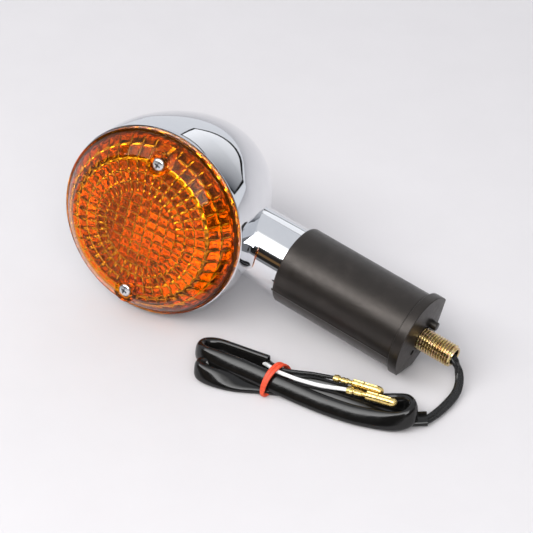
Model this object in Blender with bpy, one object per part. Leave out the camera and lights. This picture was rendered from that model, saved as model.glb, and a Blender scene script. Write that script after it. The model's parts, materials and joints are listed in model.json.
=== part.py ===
"""Motorcycle turn signal: a chrome bullet housing with an amber lens on a flexible rubber stem.

The design frame has its origin at the centre of the lens seat: +X runs inboard along the stem, +Y runs
back into the housing and +Z is up on the motorcycle. Every piece hangs from the empty rest_pose, which
lays the finished lamp on a flat surface on the housing's side and the edge of the base plate.
Units are metres.
"""

import math

import bmesh
import bpy
from mathutils import Matrix, Vector

MM = 0.001
GAP = 0.3 * MM

# Housing: a turned shell, straight near its rim and closing to a rounded point.
LENS_RADIUS = 42.5 * MM
SHELL_RADIUS = 43.1 * MM
SHELL_RIM = 0.3 * MM
SHELL_STRAIGHT = 12.0 * MM
SHELL_DEPTH = 73.0 * MM
SHELL_WALL = 1.5 * MM
SHELL_SIDE_POWER = 0.86
SHELL_DEPTH_POWER = 1.35
LEDGE_DEPTH = 2.9 * MM
LEDGE_RADIUS = 39.8 * MM
POST_RADIUS = 4.5 * MM
POST_FRONT = 2.2 * MM
POST_TURN = math.radians(7.5)
POST_INSET = 0.7 * MM
PILOT_DEPTH = 16.0 * MM

# Lens: a rim flange, a sloping side up to a shoulder, and a slightly crowned face.
LENS_FLANGE = 2.2 * MM
LENS_WALL = 2.4 * MM
SHOULDER_RADIUS = 33.6 * MM
SHOULDER_HEIGHT = 10.9 * MM
CROWN_HEIGHT = 12.6 * MM
SCREW_CIRCLE = 31.9 * MM
SCREW_RADIUS = 1.45 * MM
SCREW_CLEARANCE = 1.9 * MM
SCREW_SEAT = 8.9 * MM
SCREW_LENGTH = 20.0 * MM
SCREW_HEAD_RADIUS = 3.0 * MM
SCREW_HEAD_HEIGHT = 1.9 * MM
SCREW_POCKET_RADIUS = 4.2 * MM
SCREW_PILLAR_RADIUS = 5.6 * MM

# Reflector, bulb and bulb holder, all on the lens axis.
REFLECTOR_RADIUS = 34.6 * MM
REFLECTOR_POWER = 0.7
REFLECTOR_WALL = 0.8 * MM
NECK_RADIUS = 9.6 * MM
CAP_RADIUS = 7.5 * MM
CAP_FRONT = 34.0 * MM
CAP_BACK = 50.0 * MM
GLOBE_RADIUS = 12.4 * MM
GLOBE_DEPTH = 20.5 * MM
NIB_TIP = CAP_BACK + 1.4 * MM
PIN_DEPTH = 42.5 * MM
PIN_RADIUS = 1.0 * MM
SOCKET_RADIUS = 8.9 * MM
SOCKET_BORE = 8.0 * MM
SOCKET_FRONT = 37.0 * MM
SOCKET_BACK = 62.0 * MM
SLOT_WIDTH = 2.9 * MM
INSULATOR_FRONT = 59.2 * MM
INSULATOR_BACK = 62.6 * MM
PLUNGER_BACK = 64.5 * MM
BULB_PUSH = 1.5 * MM

# Stem: a chrome tube, the rubber sleeve around its end, the base plate and the hollow stud.
STEM_DEPTH = 27.6 * MM
STEM_YAW = math.radians(5.7)
TUBE_RADIUS = 15.75 * MM
TUBE_BORE = 14.25 * MM
TUBE_START = 20.0 * MM
TUBE_END = 86.0 * MM
FLEX_CENTRE = 100.5 * MM
SLEEVE_START = 61.0 * MM
SLEEVE_END = 121.3 * MM
SLEEVE_RADIUS = 17.6 * MM
PLATE_START = 121.6 * MM
PLATE_END = 126.0 * MM
PLATE_RADIUS = 19.2 * MM
STUD_RADIUS = 5.0 * MM
STUD_BORE = 3.3 * MM
STUD_END = 142.5 * MM
STUD_HEAD_RADIUS = 11.0 * MM
PEG_RADIUS = 1.9 * MM
PEG_CIRCLE = 7.4 * MM

# How the lamp lies: the lens tips back from vertical, and the stem slopes down to the base plate.
LENS_TILT = math.radians(11.5)
STEM_DROP = math.radians(10.75)

# Wiring on the surface: the cable's route, the folded sleeve, the band and the two bullet terminals.
# These places are in millimetres in the lying frame.
CABLE_RADIUS = 1.5 * MM
CABLE_ROUTE = [
    (90.5, 0.1, 12.5),
    (93.2, -0.3, 10.9),
    (95.6, -1.4, 8.2),
    (97.2, -4.2, 5.6),
    (98.0, -9.0, 3.5),
    (98.1, -14.3, 2.2),
    (97.9, -19.0, 1.9),
    (97.0, -22.8, 1.9),
    (95.4, -26.6, 1.9),
]
HANK_HEIGHT = 8.3 * MM
HANK_OUTLINE = [
    (-8.5, -46.0),
    (-7.5, -41.5),
    (-3.0, -37.5),
    (8.0, -35.6),
    (20.5, -34.9),
    (23.0, -39.4),
    (34.0, -38.6),
    (46.0, -34.9),
    (57.0, -31.8),
    (70.0, -27.8),
    (79.0, -24.4),
    (86.0, -26.0),
    (91.0, -29.6),
    (92.6, -33.5),
    (89.0, -39.0),
    (81.5, -43.2),
    (70.6, -47.2),
    (53.4, -49.7),
    (38.6, -50.2),
    (28.7, -52.4),
    (18.5, -56.0),
    (6.2, -61.2),
    (2.0, -60.3),
    (-2.5, -56.0),
    (-6.5, -50.5),
]
MOUTH_OUTLINE = [(92.4, -25.0), (96.8, -31.0), (89.5, -36.3), (85.1, -30.3)]
MOUTH_HEIGHT = 3.9 * MM
BAND_PLACE = 31.0 * MM
BAND_WIDTH = 3.6 * MM
BAND_THICKNESS = 1.2 * MM
BAND_GROOVE = ((-50.0 * MM, 2.1 * MM), (-41.0 * MM, 6.5 * MM))
TAIL_RADIUS = 0.95 * MM
BULLET_RADIUS = 1.95 * MM
WHITE_ROUTE = [
    (23.3, -38.1, 4.6),
    (25.4, -37.4, 7.0),
    (27.2, -37.8, 9.4),
    (29.2, -39.6, 10.2),
    (31.4, -42.8, 9.9),
    (34.1, -44.9, 9.7),
    (38.2, -45.0, 9.7),
    (42.0, -44.0, 9.7),
    (52.5, -42.4, 9.7),
    (59.0, -40.5, 10.2),
    (62.9, -39.8, 10.6),
]
WHITE_TERMINAL = ((63.2, -39.7, 10.6), (85.0, -35.8, 10.6))
BLACK_ROUTE = [
    (22.4, -36.4, 4.6),
    (26.0, -35.0, 7.0),
    (29.6, -36.2, 9.8),
    (34.5, -41.0, 9.7),
    (39.0, -40.5, 9.7),
    (43.9, -38.8, 9.7),
    (48.8, -37.3, 10.0),
    (54.0, -36.3, 10.6),
]
BLACK_TERMINAL = ((54.3, -36.2, 10.6), (76.4, -32.7, 10.6))

RING = 36
SMALL_RING = 20


# ---------------------------------------------------------------- helpers


def clear_scene():
    for obj in list(bpy.data.objects):
        bpy.data.objects.remove(obj)


def material(name, colour, roughness, metallic=0.0, transmission=0.0):
    made = bpy.data.materials.new(name)
    made.use_nodes = True
    shader = made.node_tree.nodes["Principled BSDF"]
    shader.inputs["Base Color"].default_value = (*colour, 1.0)
    shader.inputs["Roughness"].default_value = roughness
    shader.inputs["Metallic"].default_value = metallic
    shader.inputs["Transmission Weight"].default_value = transmission
    made.diffuse_color = (*colour, 1.0)
    return made


def empty(name, parent=None, location=(0, 0, 0), rotation=(0, 0, 0)):
    obj = bpy.data.objects.new(name, None)
    bpy.context.collection.objects.link(obj)
    obj.parent = parent
    obj.location = location
    obj.rotation_euler = rotation
    return obj


def add(name, bm, parent, surface, location=(0, 0, 0), rotation=(0, 0, 0)):
    """Turns a bmesh into an object whose faces point out."""
    bmesh.ops.recalc_face_normals(bm, faces=bm.faces)
    if bm.calc_volume(signed=True) < 0:
        bmesh.ops.reverse_faces(bm, faces=bm.faces)
    mesh = bpy.data.meshes.new(name)
    bm.to_mesh(mesh)
    bm.free()
    mesh.shade_smooth()
    mesh.set_sharp_from_angle(angle=math.radians(35))
    obj = bpy.data.objects.new(name, mesh)
    bpy.context.collection.objects.link(obj)
    if surface:
        mesh.materials.append(surface)
    obj.parent = parent
    obj.location = location
    obj.rotation_euler = rotation
    return obj


def turned(name, outline, parent, surface, segments=RING, **place):
    """Revolves a closed outline of (radius, height) points about the object's own Z axis."""
    bm = bmesh.new()
    rows = []
    for radius, height in outline:
        if radius <= 0:
            rows.append([bm.verts.new((0, 0, height))])
            continue
        turns = (2 * math.pi * i / segments for i in range(segments))
        rows.append([bm.verts.new((radius * math.cos(a), radius * math.sin(a), height)) for a in turns])
    for row, following in zip(rows, rows[1:] + rows[:1]):
        if len(row) == 1 and len(following) == 1:
            continue
        for i in range(segments):
            j = (i + 1) % segments
            if len(row) == 1:
                bm.faces.new((row[0], following[i], following[j]))
            elif len(following) == 1:
                bm.faces.new((row[i], following[0], row[j]))
            else:
                bm.faces.new((row[i], following[i], following[j], row[j]))
    return add(name, bm, parent, surface, **place)


def rod(name, radius, start, end, parent, surface=None, segments=SMALL_RING, **place):
    outline = [(0, start), (radius, start), (radius, end), (0, end)]
    return turned(name, outline, parent, surface, segments, **place)


def tube(name, radius, bore, start, end, parent, surface=None, segments=RING, **place):
    outline = [(bore, start), (radius, start), (radius, end), (bore, end)]
    return turned(name, outline, parent, surface, segments, **place)


def box(name, size, parent, surface=None, **place):
    bm = bmesh.new()
    bmesh.ops.create_cube(bm, size=1.0)
    bmesh.ops.scale(bm, vec=size, verts=bm.verts)
    return add(name, bm, parent, surface, **place)


def helper(obj):
    """Marks a cutter or a building block, which isn't a piece of the lamp."""
    obj.hide_render = True
    obj.display_type = "WIRE"
    return obj


def boolean(obj, operation, other, solver="EXACT"):
    modifier = obj.modifiers.new(f"{operation.lower()}_{other.name}", "BOOLEAN")
    modifier.operation = operation
    modifier.solver = solver
    modifier.object = other


def prism(name, outline, height, parent, surface, **place):
    """Extrudes a closed outline in the object's XY plane along its Z axis."""
    bm = bmesh.new()
    face = bm.faces.new([bm.verts.new((x, y, 0)) for x, y in outline])
    lifted = bmesh.ops.extrude_face_region(bm, geom=[face])["geom"]
    bmesh.ops.translate(bm, vec=(0, 0, height), verts=[v for v in lifted if isinstance(v, bmesh.types.BMVert)])
    return add(name, bm, parent, surface, **place)


def arc(radius, start, end, steps, centre=(0, 0)):
    """Points along an arc, from the start angle to the end angle in degrees."""
    angles = [math.radians(start + (end - start) * i / steps) for i in range(steps + 1)]
    return [(centre[0] + radius * math.cos(a), centre[1] + radius * math.sin(a)) for a in angles]


def smooth_path(points, count):
    """Reads count points at even spacing from a Catmull-Rom curve through the given ones."""
    ends = [points[0] * 2 - points[1], *points, points[-1] * 2 - points[-2]]
    fine = []
    for before, a, b, after in zip(ends, ends[1:], ends[2:], ends[3:]):
        for step in range(16):
            t = step / 16
            fine.append(
                a
                + (b - before) * (t / 2)
                + (before * 2 - a * 5 + b * 4 - after) * (t * t / 2)
                + (a * 3 - before - b * 3 + after) * (t * t * t / 2)
            )
    fine.append(points[-1])
    lengths = [0.0]
    for a, b in zip(fine, fine[1:]):
        lengths.append(lengths[-1] + (b - a).length)
    path = []
    at = 0
    for i in range(count):
        wanted = lengths[-1] * i / (count - 1)
        while at < len(fine) - 2 and lengths[at + 1] < wanted:
            at += 1
        share = (wanted - lengths[at]) / (lengths[at + 1] - lengths[at])
        path.append(fine[at].lerp(fine[at + 1], min(1.0, share)))
    return path


def cable(name, points, radius, count, parent, surface):
    """A round cable along a smooth curve through the points, with flat closed ends."""
    curve = bpy.data.curves.new(name, "CURVE")
    curve.dimensions = "3D"
    curve.bevel_depth = radius
    curve.bevel_resolution = 2
    curve.use_fill_caps = True
    path = smooth_path([Vector(p) for p in points], count)
    spline = curve.splines.new("POLY")
    spline.points.add(count - 1)
    for point, place in zip(spline.points, path):
        point.co = (*place, 1.0)
    spline.use_smooth = True
    obj = bpy.data.objects.new(name, curve)
    bpy.context.collection.objects.link(obj)
    curve.materials.append(surface)
    obj.parent = parent
    return obj


# ---------------------------------------------------------------- housing and stem tube


def shell_profile(growth, steps):
    """The housing's outline from rim to point, as (radius, depth), moved outwards by growth."""
    radius = SHELL_RADIUS + growth
    depth = SHELL_DEPTH + growth - SHELL_STRAIGHT
    points = []
    for i in range(steps + 1):
        turn = math.pi / 2 * i / steps
        side = radius * math.cos(turn) ** SHELL_SIDE_POWER if i < steps else 0.0
        points.append((side, SHELL_STRAIGHT + depth * math.sin(turn) ** SHELL_DEPTH_POWER))
    return points


def make_housing(lens_axis, stem_axis, chrome):
    outer = shell_profile(0.0, 13)
    inner = shell_profile(-SHELL_WALL, 11)
    recess = SHELL_RADIUS - SHELL_WALL
    outline = [(recess, SHELL_RIM), (SHELL_RADIUS, SHELL_RIM), *outer]
    outline += [*reversed(inner[1:]), (LEDGE_RADIUS, SHELL_STRAIGHT), (LEDGE_RADIUS, LEDGE_DEPTH), (recess, LEDGE_DEPTH)]
    housing = turned("housing", outline, lens_axis, chrome)
    plug_outline = [(0, SHELL_RIM), (SHELL_RADIUS - POST_INSET, SHELL_RIM), *shell_profile(-POST_INSET, 13)]
    plug = helper(turned("post_limit", plug_outline, lens_axis, None))
    for side, name in ((-1, "upper"), (1, "lower")):
        place = {"location": (0, side * SCREW_CIRCLE, 0), "rotation": (0, 0, POST_TURN)}
        post = helper(rod(f"post_{name}", POST_RADIUS, POST_FRONT + GAP, SHELL_DEPTH, lens_axis, **place))
        boolean(post, "INTERSECT", plug)
        pilot = helper(rod(f"pilot_{name}", SCREW_CLEARANCE, 0, PILOT_DEPTH, lens_axis, segments=16, **place))
        boolean(post, "DIFFERENCE", pilot)
        boolean(housing, "UNION", post)
    opening = helper(rod("stem_opening", TUBE_BORE, TUBE_START, SLEEVE_START, stem_axis, segments=32))
    boolean(housing, "DIFFERENCE", opening)
    return housing


def make_stem_tube(lens_axis, stem_axis, chrome):
    end_wall = 2.0 * MM
    lead_hole = 4.0 * MM
    outline = [
        (TUBE_BORE, TUBE_START),
        (TUBE_RADIUS, TUBE_START),
        (TUBE_RADIUS, TUBE_END),
        (lead_hole, TUBE_END),
        (lead_hole, TUBE_END - end_wall),
        (TUBE_BORE, TUBE_END - end_wall),
    ]
    stem = turned("stem_tube", outline, stem_axis, chrome)
    grown = shell_profile(GAP, 16)
    saddle = helper(turned("stem_saddle", [(0, 0), (grown[0][0], 0), *grown], lens_axis, None, 64))
    boolean(stem, "DIFFERENCE", saddle)
    return stem


# ---------------------------------------------------------------- lens, gasket and screws


def lens_outline():
    """The lens wall as (radius, height in front of the seat), round its outside and back inside."""
    outside = [
        (LENS_RADIUS, 0.0),
        (LENS_RADIUS, LENS_FLANGE),
        (LENS_RADIUS - 1.3 * MM, LENS_FLANGE + 0.5 * MM),
        (SHOULDER_RADIUS + 0.7 * MM, SHOULDER_HEIGHT - 1.0 * MM),
        (SHOULDER_RADIUS, SHOULDER_HEIGHT),
        (SHOULDER_RADIUS * 0.66, SHOULDER_HEIGHT + (CROWN_HEIGHT - SHOULDER_HEIGHT) * 0.56),
        (SHOULDER_RADIUS * 0.33, SHOULDER_HEIGHT + (CROWN_HEIGHT - SHOULDER_HEIGHT) * 0.89),
        (0.0, CROWN_HEIGHT),
    ]
    inside = [
        (0.0, CROWN_HEIGHT - LENS_WALL),
        (SHOULDER_RADIUS * 0.5, CROWN_HEIGHT - LENS_WALL - 0.4 * MM),
        (SHOULDER_RADIUS - 2.2 * MM, SHOULDER_HEIGHT - LENS_WALL),
        (LENS_RADIUS - 4.3 * MM, 0.0),
    ]
    return outside + inside


def make_lens(lens_axis, amber):
    outline = [(radius, -height) for radius, height in lens_outline()]
    lens = turned("lens", outline, lens_axis, amber, 48)
    for side, name in ((-1, "upper"), (1, "lower")):
        place = {"location": (0, side * SCREW_CIRCLE, 0), "rotation": (0, 0, POST_TURN), "segments": 24}
        pillar = rod(f"pillar_{name}", SCREW_PILLAR_RADIUS, -SCREW_SEAT - 0.7 * MM, -0.2 * MM, lens_axis, **place)
        floor = -SCREW_SEAT + GAP
        step = [
            (0, -20 * MM),
            (SCREW_POCKET_RADIUS, -20 * MM),
            (SCREW_POCKET_RADIUS, floor),
            (SCREW_CLEARANCE, floor),
            (SCREW_CLEARANCE, 5 * MM),
            (0, 5 * MM),
        ]
        pocket = turned(f"pocket_{name}", step, lens_axis, None, **place)
        boolean(lens, "UNION", helper(pillar), "MANIFOLD")
        boolean(lens, "DIFFERENCE", helper(pocket), "MANIFOLD")
    return lens


def make_screw(name, side, lens_axis, steel):
    """A pan-head cross-recess screw standing on its seat, its shank running back into the post."""
    crown = SCREW_SEAT + SCREW_HEAD_HEIGHT
    outline = [
        (0, -crown),
        (SCREW_HEAD_RADIUS * 0.55, -crown + 0.12 * MM),
        (SCREW_HEAD_RADIUS * 0.88, -crown + 0.55 * MM),
        (SCREW_HEAD_RADIUS, -crown + 1.1 * MM),
        (SCREW_HEAD_RADIUS, -SCREW_SEAT),
        (SCREW_RADIUS, -SCREW_SEAT),
        (SCREW_RADIUS, SCREW_LENGTH - SCREW_SEAT - 1.5 * MM),
        (0.5 * MM, SCREW_LENGTH - SCREW_SEAT),
        (0, SCREW_LENGTH - SCREW_SEAT),
    ]
    place = {"location": (0, side * SCREW_CIRCLE, 0)}
    screw = turned(name, outline, lens_axis, steel, SMALL_RING, **place)
    for turn in (0, 1):
        size = (3.4 * MM, 0.8 * MM, 2.4 * MM)
        blade = box(f"{name}_blade_{turn}", size, screw, location=(0, 0, -crown), rotation=(0, 0, turn * math.pi / 2))
        boolean(screw, "DIFFERENCE", helper(blade))
    return screw


def make_gasket(lens_axis, rubber):
    return tube("lens_gasket", 41.2 * MM, 38.2 * MM, GAP, 1.5 * MM, lens_axis, rubber)


# ---------------------------------------------------------------- reflector, bulb and holder


def make_reflector(lens_axis, mirror):
    """A pressed bowl: its flange lies on the housing's ledge and its neck carries the bulb holder."""
    flange_radius = 41.2 * MM
    flange_front = 1.8 * MM
    flange_back = LEDGE_DEPTH - GAP
    bowl_front = 4.0 * MM
    bowl_back = 32.0 * MM
    neck_back = 41.0 * MM
    steps = 7
    outer = []
    inner = []
    for i in range(steps + 1):
        share = i / steps
        radius = REFLECTOR_RADIUS - (REFLECTOR_RADIUS - NECK_RADIUS) * share
        depth = bowl_front + (bowl_back - bowl_front) * share**REFLECTOR_POWER
        inner.append((radius, depth))
        outer.append((radius + REFLECTOR_WALL, depth + REFLECTOR_WALL))
    outline = [
        (flange_radius, flange_front),
        (flange_radius, flange_back),
        (outer[0][0] + 1.2 * MM, flange_back),
        *outer,
        (NECK_RADIUS + REFLECTOR_WALL, neck_back),
        (NECK_RADIUS, neck_back),
        *reversed(inner),
        (inner[0][0] + 0.4 * MM, flange_front),
    ]
    reflector = turned("reflector", outline, lens_axis, mirror)
    for side, name in ((-1, "upper"), (1, "lower")):
        place = {"location": (0, side * SCREW_CIRCLE, 0), "segments": 24}
        notch = helper(rod(f"notch_{name}", POST_RADIUS + 0.9 * MM, 0, SHELL_DEPTH, lens_axis, **place))
        boolean(reflector, "DIFFERENCE", notch, "MANIFOLD")
    return reflector


def make_bulb(lens_axis, brass, glass, wire, solder):
    cap_bore = 5.6 * MM
    contact_hole = 2.6 * MM
    outline = [
        (cap_bore, CAP_FRONT),
        (CAP_RADIUS, CAP_FRONT),
        (CAP_RADIUS, CAP_BACK - 1.5 * MM),
        (5.0 * MM, CAP_BACK),
        (contact_hole, CAP_BACK),
        (contact_hole, CAP_BACK - 1.2 * MM),
        (cap_bore, CAP_BACK - 2.0 * MM),
    ]
    cap = turned("bulb_cap", outline, lens_axis, brass, 32)
    for side in (-1, 1):
        place = {"location": (0, 0, PIN_DEPTH), "rotation": (side * math.pi / 2, 0, 0)}
        pin = helper(rod(f"bayonet_pin_{side}", PIN_RADIUS, 6.6 * MM, 8.6 * MM, lens_axis, segments=12, **place))
        boolean(cap, "UNION", pin)
    wall = 0.7 * MM
    neck = 5.0 * MM
    neck_back = CAP_FRONT + 6 * MM
    start = math.degrees(math.asin(neck / GLOBE_RADIUS))
    outside = [(y, GLOBE_DEPTH - x) for x, y in arc(GLOBE_RADIUS, 0, 180 - start, 9)]
    inside = [(y, GLOBE_DEPTH - x) for x, y in arc(GLOBE_RADIUS - wall, 180 - start - 4, 0, 8)]
    outline = [*outside, (neck, neck_back), (neck - wall, neck_back), *inside[:-1], (0.0, inside[-1][1])]
    turned("bulb_glass", outline, lens_axis, glass, 24)
    stem_radius = 2.2 * MM
    stem_back = CAP_FRONT + 8 * MM
    stem = [(0, 31 * MM), (1.6 * MM, 31.5 * MM), (stem_radius, CAP_FRONT), (stem_radius, stem_back), (0, stem_back)]
    mount = turned("bulb_filament", stem, lens_axis, wire, 12)
    post_lean = math.radians(12.6)
    for side in (-1, 1):
        place = {"location": (side * 1.5 * MM, 0, 26.5 * MM), "rotation": (0, -side * post_lean, 0)}
        post = helper(rod(f"filament_post_{side}", 0.3 * MM, -6.5 * MM, 7.5 * MM, lens_axis, segments=8, **place))
        boolean(mount, "UNION", post)
    coil_half = 3.4 * MM
    place = {"location": (0, 0, GLOBE_DEPTH), "rotation": (0, math.pi / 2, 0)}
    coil = helper(rod("filament_coil", 0.5 * MM, -coil_half, coil_half, lens_axis, segments=8, **place))
    boolean(mount, "UNION", coil)
    nib_radius = 2.2 * MM
    nib_front = CAP_BACK - 3.0 * MM
    nib = [
        (0, nib_front),
        (nib_radius, nib_front),
        (nib_radius, CAP_BACK + 0.4 * MM),
        (1.4 * MM, NIB_TIP - 0.2 * MM),
        (0, NIB_TIP),
    ]
    turned("bulb_contact", nib, lens_axis, solder, 16)


def make_socket(lens_axis, steel, phenolic, brass, wire):
    """The bayonet holder: its J slots let the pins in, and hold them once the bulb has been turned."""
    shell = tube("socket_shell", SOCKET_RADIUS, SOCKET_BORE, SOCKET_FRONT, SOCKET_BACK, lens_axis, steel, 32)
    hook_back = PIN_DEPTH + PIN_RADIUS + BULB_PUSH + 0.5 * MM
    hook_front = PIN_DEPTH - PIN_RADIUS - 0.4 * MM
    lane_front = SOCKET_FRONT - 1 * MM
    bridge_front = hook_back - 2.8 * MM
    for side in (-1, 1):
        hook = math.pi / 2 * side
        lane = hook - math.radians(24)
        slots = [("hook", hook, hook_front), ("lane", lane, lane_front), ("bridge", (hook + lane) / 2, bridge_front)]
        for label, angle, front in slots:
            reach = (SOCKET_RADIUS + SOCKET_BORE) / 2
            place = {
                "location": (reach * math.cos(angle), reach * math.sin(angle), (hook_back + front) / 2),
                "rotation": (0, 0, angle),
            }
            size = (4 * MM, SLOT_WIDTH, hook_back - front)
            slot = box(f"slot_{label}_{side}", size, lens_axis, **place)
            boolean(shell, "DIFFERENCE", helper(slot))
    insulator = [
        (1.9 * MM, INSULATOR_FRONT),
        (SOCKET_BORE - GAP, INSULATOR_FRONT),
        (SOCKET_BORE - GAP, INSULATOR_BACK),
        (1.9 * MM, INSULATOR_BACK),
    ]
    turned("socket_insulator", insulator, lens_axis, phenolic, 24)
    tip = NIB_TIP + GAP
    head_back = tip + 1.4 * MM
    head_radius = 3.2 * MM
    tail_radius = 1.4 * MM
    plunger = [
        (0, tip),
        (head_radius, tip),
        (head_radius, head_back),
        (tail_radius, head_back),
        (tail_radius, PLUNGER_BACK),
        (0, PLUNGER_BACK),
    ]
    turned("contact_plunger", plunger, lens_axis, brass, 16)
    turns = 3
    steps = 12
    coil_radius = 2.5 * MM
    start = head_back + 1.0 * MM
    rise = INSULATOR_FRONT - 0.9 * MM - start
    count = turns * steps + 1
    coil = []
    for i in range(count):
        angle = 2 * math.pi * i / steps
        height = start + rise * i / (count - 1)
        coil.append((coil_radius * math.cos(angle), coil_radius * math.sin(angle), height))
    cable("contact_spring", coil, 0.35 * MM, count, lens_axis, wire)
    half = 2.5 * MM
    tip_half = 1.0 * MM
    shoulder = 7 * MM
    length = 9 * MM
    tag = [(-half, 0), (half, 0), (half, shoulder), (tip_half, length), (-tip_half, length), (-half, shoulder)]
    place = {"location": (SOCKET_RADIUS + GAP, 0, 52 * MM), "rotation": (math.pi / 2, 0, math.pi / 2)}
    prism("earth_tag", tag, 0.8 * MM, lens_axis, brass, **place)


def make_leads(lens_axis, black, white):
    """Two leads from the bulb holder through the stem tube to the middle of the rubber stem."""
    radius = 0.9 * MM
    half_apart = 1.3 * MM
    earth_side = SOCKET_RADIUS + 1.0 * MM
    live_start = PLUNGER_BACK + BULB_PUSH + radius + GAP
    earth_start = INSULATOR_BACK - GAP

    def stem_point(distance):
        """The depth and the sideways place of the stem's axis, at a distance along it."""
        return distance * math.cos(STEM_YAW), STEM_DEPTH - distance * math.sin(STEM_YAW)

    middle, middle_depth = stem_point(60 * MM)
    late, late_depth = stem_point(FLEX_CENTRE - 17.5 * MM)
    end, end_depth = stem_point(FLEX_CENTRE - 2.5 * MM)
    for name, side, start, surface in (
        ("live_lead", -1, [(0, 0, live_start), (1.5 * MM, 0, live_start + 1.6 * MM)], white),
        ("earth_lead", 1, [(earth_side, half_apart, earth_start), (11 * MM, half_apart, 64.0 * MM)], black),
    ):
        offset = side * half_apart
        route = [
            *start,
            (17 * MM, offset, 60 * MM),
            (22 * MM, offset, 44 * MM),
            (31 * MM, offset, STEM_DEPTH + 3 * MM),
            (46 * MM, offset, STEM_DEPTH - 4 * MM),
            (middle, offset, middle_depth),
            (late, offset, late_depth),
            (end, offset, end_depth),
        ]
        cable(name, route, radius, 30, lens_axis, surface)


# ---------------------------------------------------------------- rubber stem, base plate and stud


def make_sleeve(stem_axis, rubber):
    """Pushed over the tube at one end, solid but for the lead hole at the other."""
    core_start = 88.0 * MM
    lead_hole = 4.2 * MM
    bore = TUBE_RADIUS + GAP
    pocket_radius = STUD_HEAD_RADIUS + GAP
    pocket_start = SLEEVE_END - 4.2 * MM
    outline = [
        (bore, SLEEVE_START),
        (SLEEVE_RADIUS - 0.3 * MM, SLEEVE_START),
        (SLEEVE_RADIUS, SLEEVE_START + 0.5 * MM),
        (SLEEVE_RADIUS, SLEEVE_END - 0.6 * MM),
        (SLEEVE_RADIUS - 0.6 * MM, SLEEVE_END),
        (pocket_radius, SLEEVE_END),
        (pocket_radius, pocket_start),
        (lead_hole, pocket_start),
        (lead_hole, core_start),
        (bore, core_start),
    ]
    return turned("rubber_sleeve", outline, stem_axis, rubber)


def make_base_plate(stem_axis, rubber):
    """A disc with three flats on its lower back side, a locating peg and a matching hole.

    In its plane local X points down and local Y points back.
    """
    bottom_flat = 13.6 * MM
    back_flat = 12.3 * MM
    bottom_start = -math.degrees(math.acos(bottom_flat / PLATE_RADIUS))
    back_end = 180 - math.degrees(math.asin(back_flat / PLATE_RADIUS))
    outline = arc(PLATE_RADIUS, bottom_start, back_end - 360, 26)
    outline += [(2.0 * MM, back_flat), (bottom_flat, -0.5 * MM)]
    place = {"location": (0, 0, PLATE_START)}
    plate = prism("base_plate", outline, PLATE_END - PLATE_START, stem_axis, rubber, **place)
    hole = helper(rod("stud_hole", STUD_RADIUS + 0.4 * MM, SLEEVE_END, STUD_END, stem_axis, segments=24))
    boolean(plate, "DIFFERENCE", hole)
    for name, turn in (("peg", 135), ("socket", -45)):
        angle = math.radians(turn)
        place = {"location": (PEG_CIRCLE * math.cos(angle), PEG_CIRCLE * math.sin(angle), 0), "segments": 16}
        if name == "peg":
            peg = helper(rod("plate_peg", PEG_RADIUS, PLATE_END - 2 * MM, PLATE_END + 3 * MM, stem_axis, **place))
            boolean(plate, "UNION", peg)
        else:
            dent = helper(rod("plate_socket", PEG_RADIUS, PLATE_END - 2.5 * MM, STUD_END, stem_axis, **place))
            boolean(plate, "DIFFERENCE", dent)
    return plate


def make_stud(stem_axis, zinc):
    outline = [
        (STUD_BORE, SLEEVE_END - 3.9 * MM),
        (STUD_HEAD_RADIUS, SLEEVE_END - 3.9 * MM),
        (STUD_HEAD_RADIUS, SLEEVE_END - 0.4 * MM),
        (STUD_RADIUS, SLEEVE_END - 0.4 * MM),
        (STUD_RADIUS, STUD_END - 0.9 * MM),
        (STUD_RADIUS - 0.9 * MM, STUD_END),
        (STUD_BORE + 0.4 * MM, STUD_END),
        (STUD_BORE, STUD_END - 0.4 * MM),
    ]
    return turned("threaded_stud", outline, stem_axis, zinc, 32)


# ---------------------------------------------------------------- wiring that lies on the surface


def placed(points, scale=MM):
    return [tuple(value * scale for value in point) for point in points]


def make_stud_cable(mount_stem, black):
    """The flat twin cable's last stretch inside the rubber stem and the stud."""
    route = [(0, 0, FLEX_CENTRE + 2.5 * MM), (0, 0, FLEX_CENTRE + 20 * MM), (0, 0, STUD_END - 0.3 * MM)]
    cable("stud_cable", route, CABLE_RADIUS, 8, mount_stem, black)


def make_free_cable(black):
    """From the stud's mouth down to the surface and along it into the mouth of the folded sleeve."""
    cable("lead_cable", placed(CABLE_ROUTE), CABLE_RADIUS, 22, None, black)


def make_hank(black):
    """The folded sleeve as one block, with its flat mouth at one end and a groove for the band."""
    hank = prism("sleeve_hank", placed(HANK_OUTLINE), HANK_HEIGHT, None, black)
    mouth = helper(prism("hank_mouth", placed(MOUTH_OUTLINE), MOUTH_HEIGHT, None, None))
    boolean(hank, "UNION", mouth)
    low, high = BAND_GROOVE
    cutter = helper(frame("band_groove", low, high, BAND_WIDTH + 2 * GAP, 6 * MM))
    boolean(hank, "DIFFERENCE", cutter)
    return hank


def frame(name, low, high, width, thickness, surface=None):
    """A closed rectangular loop round the corners low and high, seen along the hank."""
    grown = [high[i] - low[i] + 2 * thickness for i in range(2)]
    middle = [(low[i] + high[i]) / 2 for i in range(2)]
    centre = (BAND_PLACE, middle[0], middle[1])
    loop = box(name, (width, grown[0], grown[1]), None, surface, location=centre)
    inside = (width + 4 * MM, high[0] - low[0], high[1] - low[1])
    core = helper(box(f"{name}_core", inside, None, location=centre))
    boolean(loop, "DIFFERENCE", core)
    return loop


def make_band(rubber):
    low, high = BAND_GROOVE
    inner_low = [value - GAP for value in low]
    inner_high = [value + GAP for value in high]
    return frame("rubber_band", inner_low, inner_high, BAND_WIDTH, BAND_THICKNESS, rubber)


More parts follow.
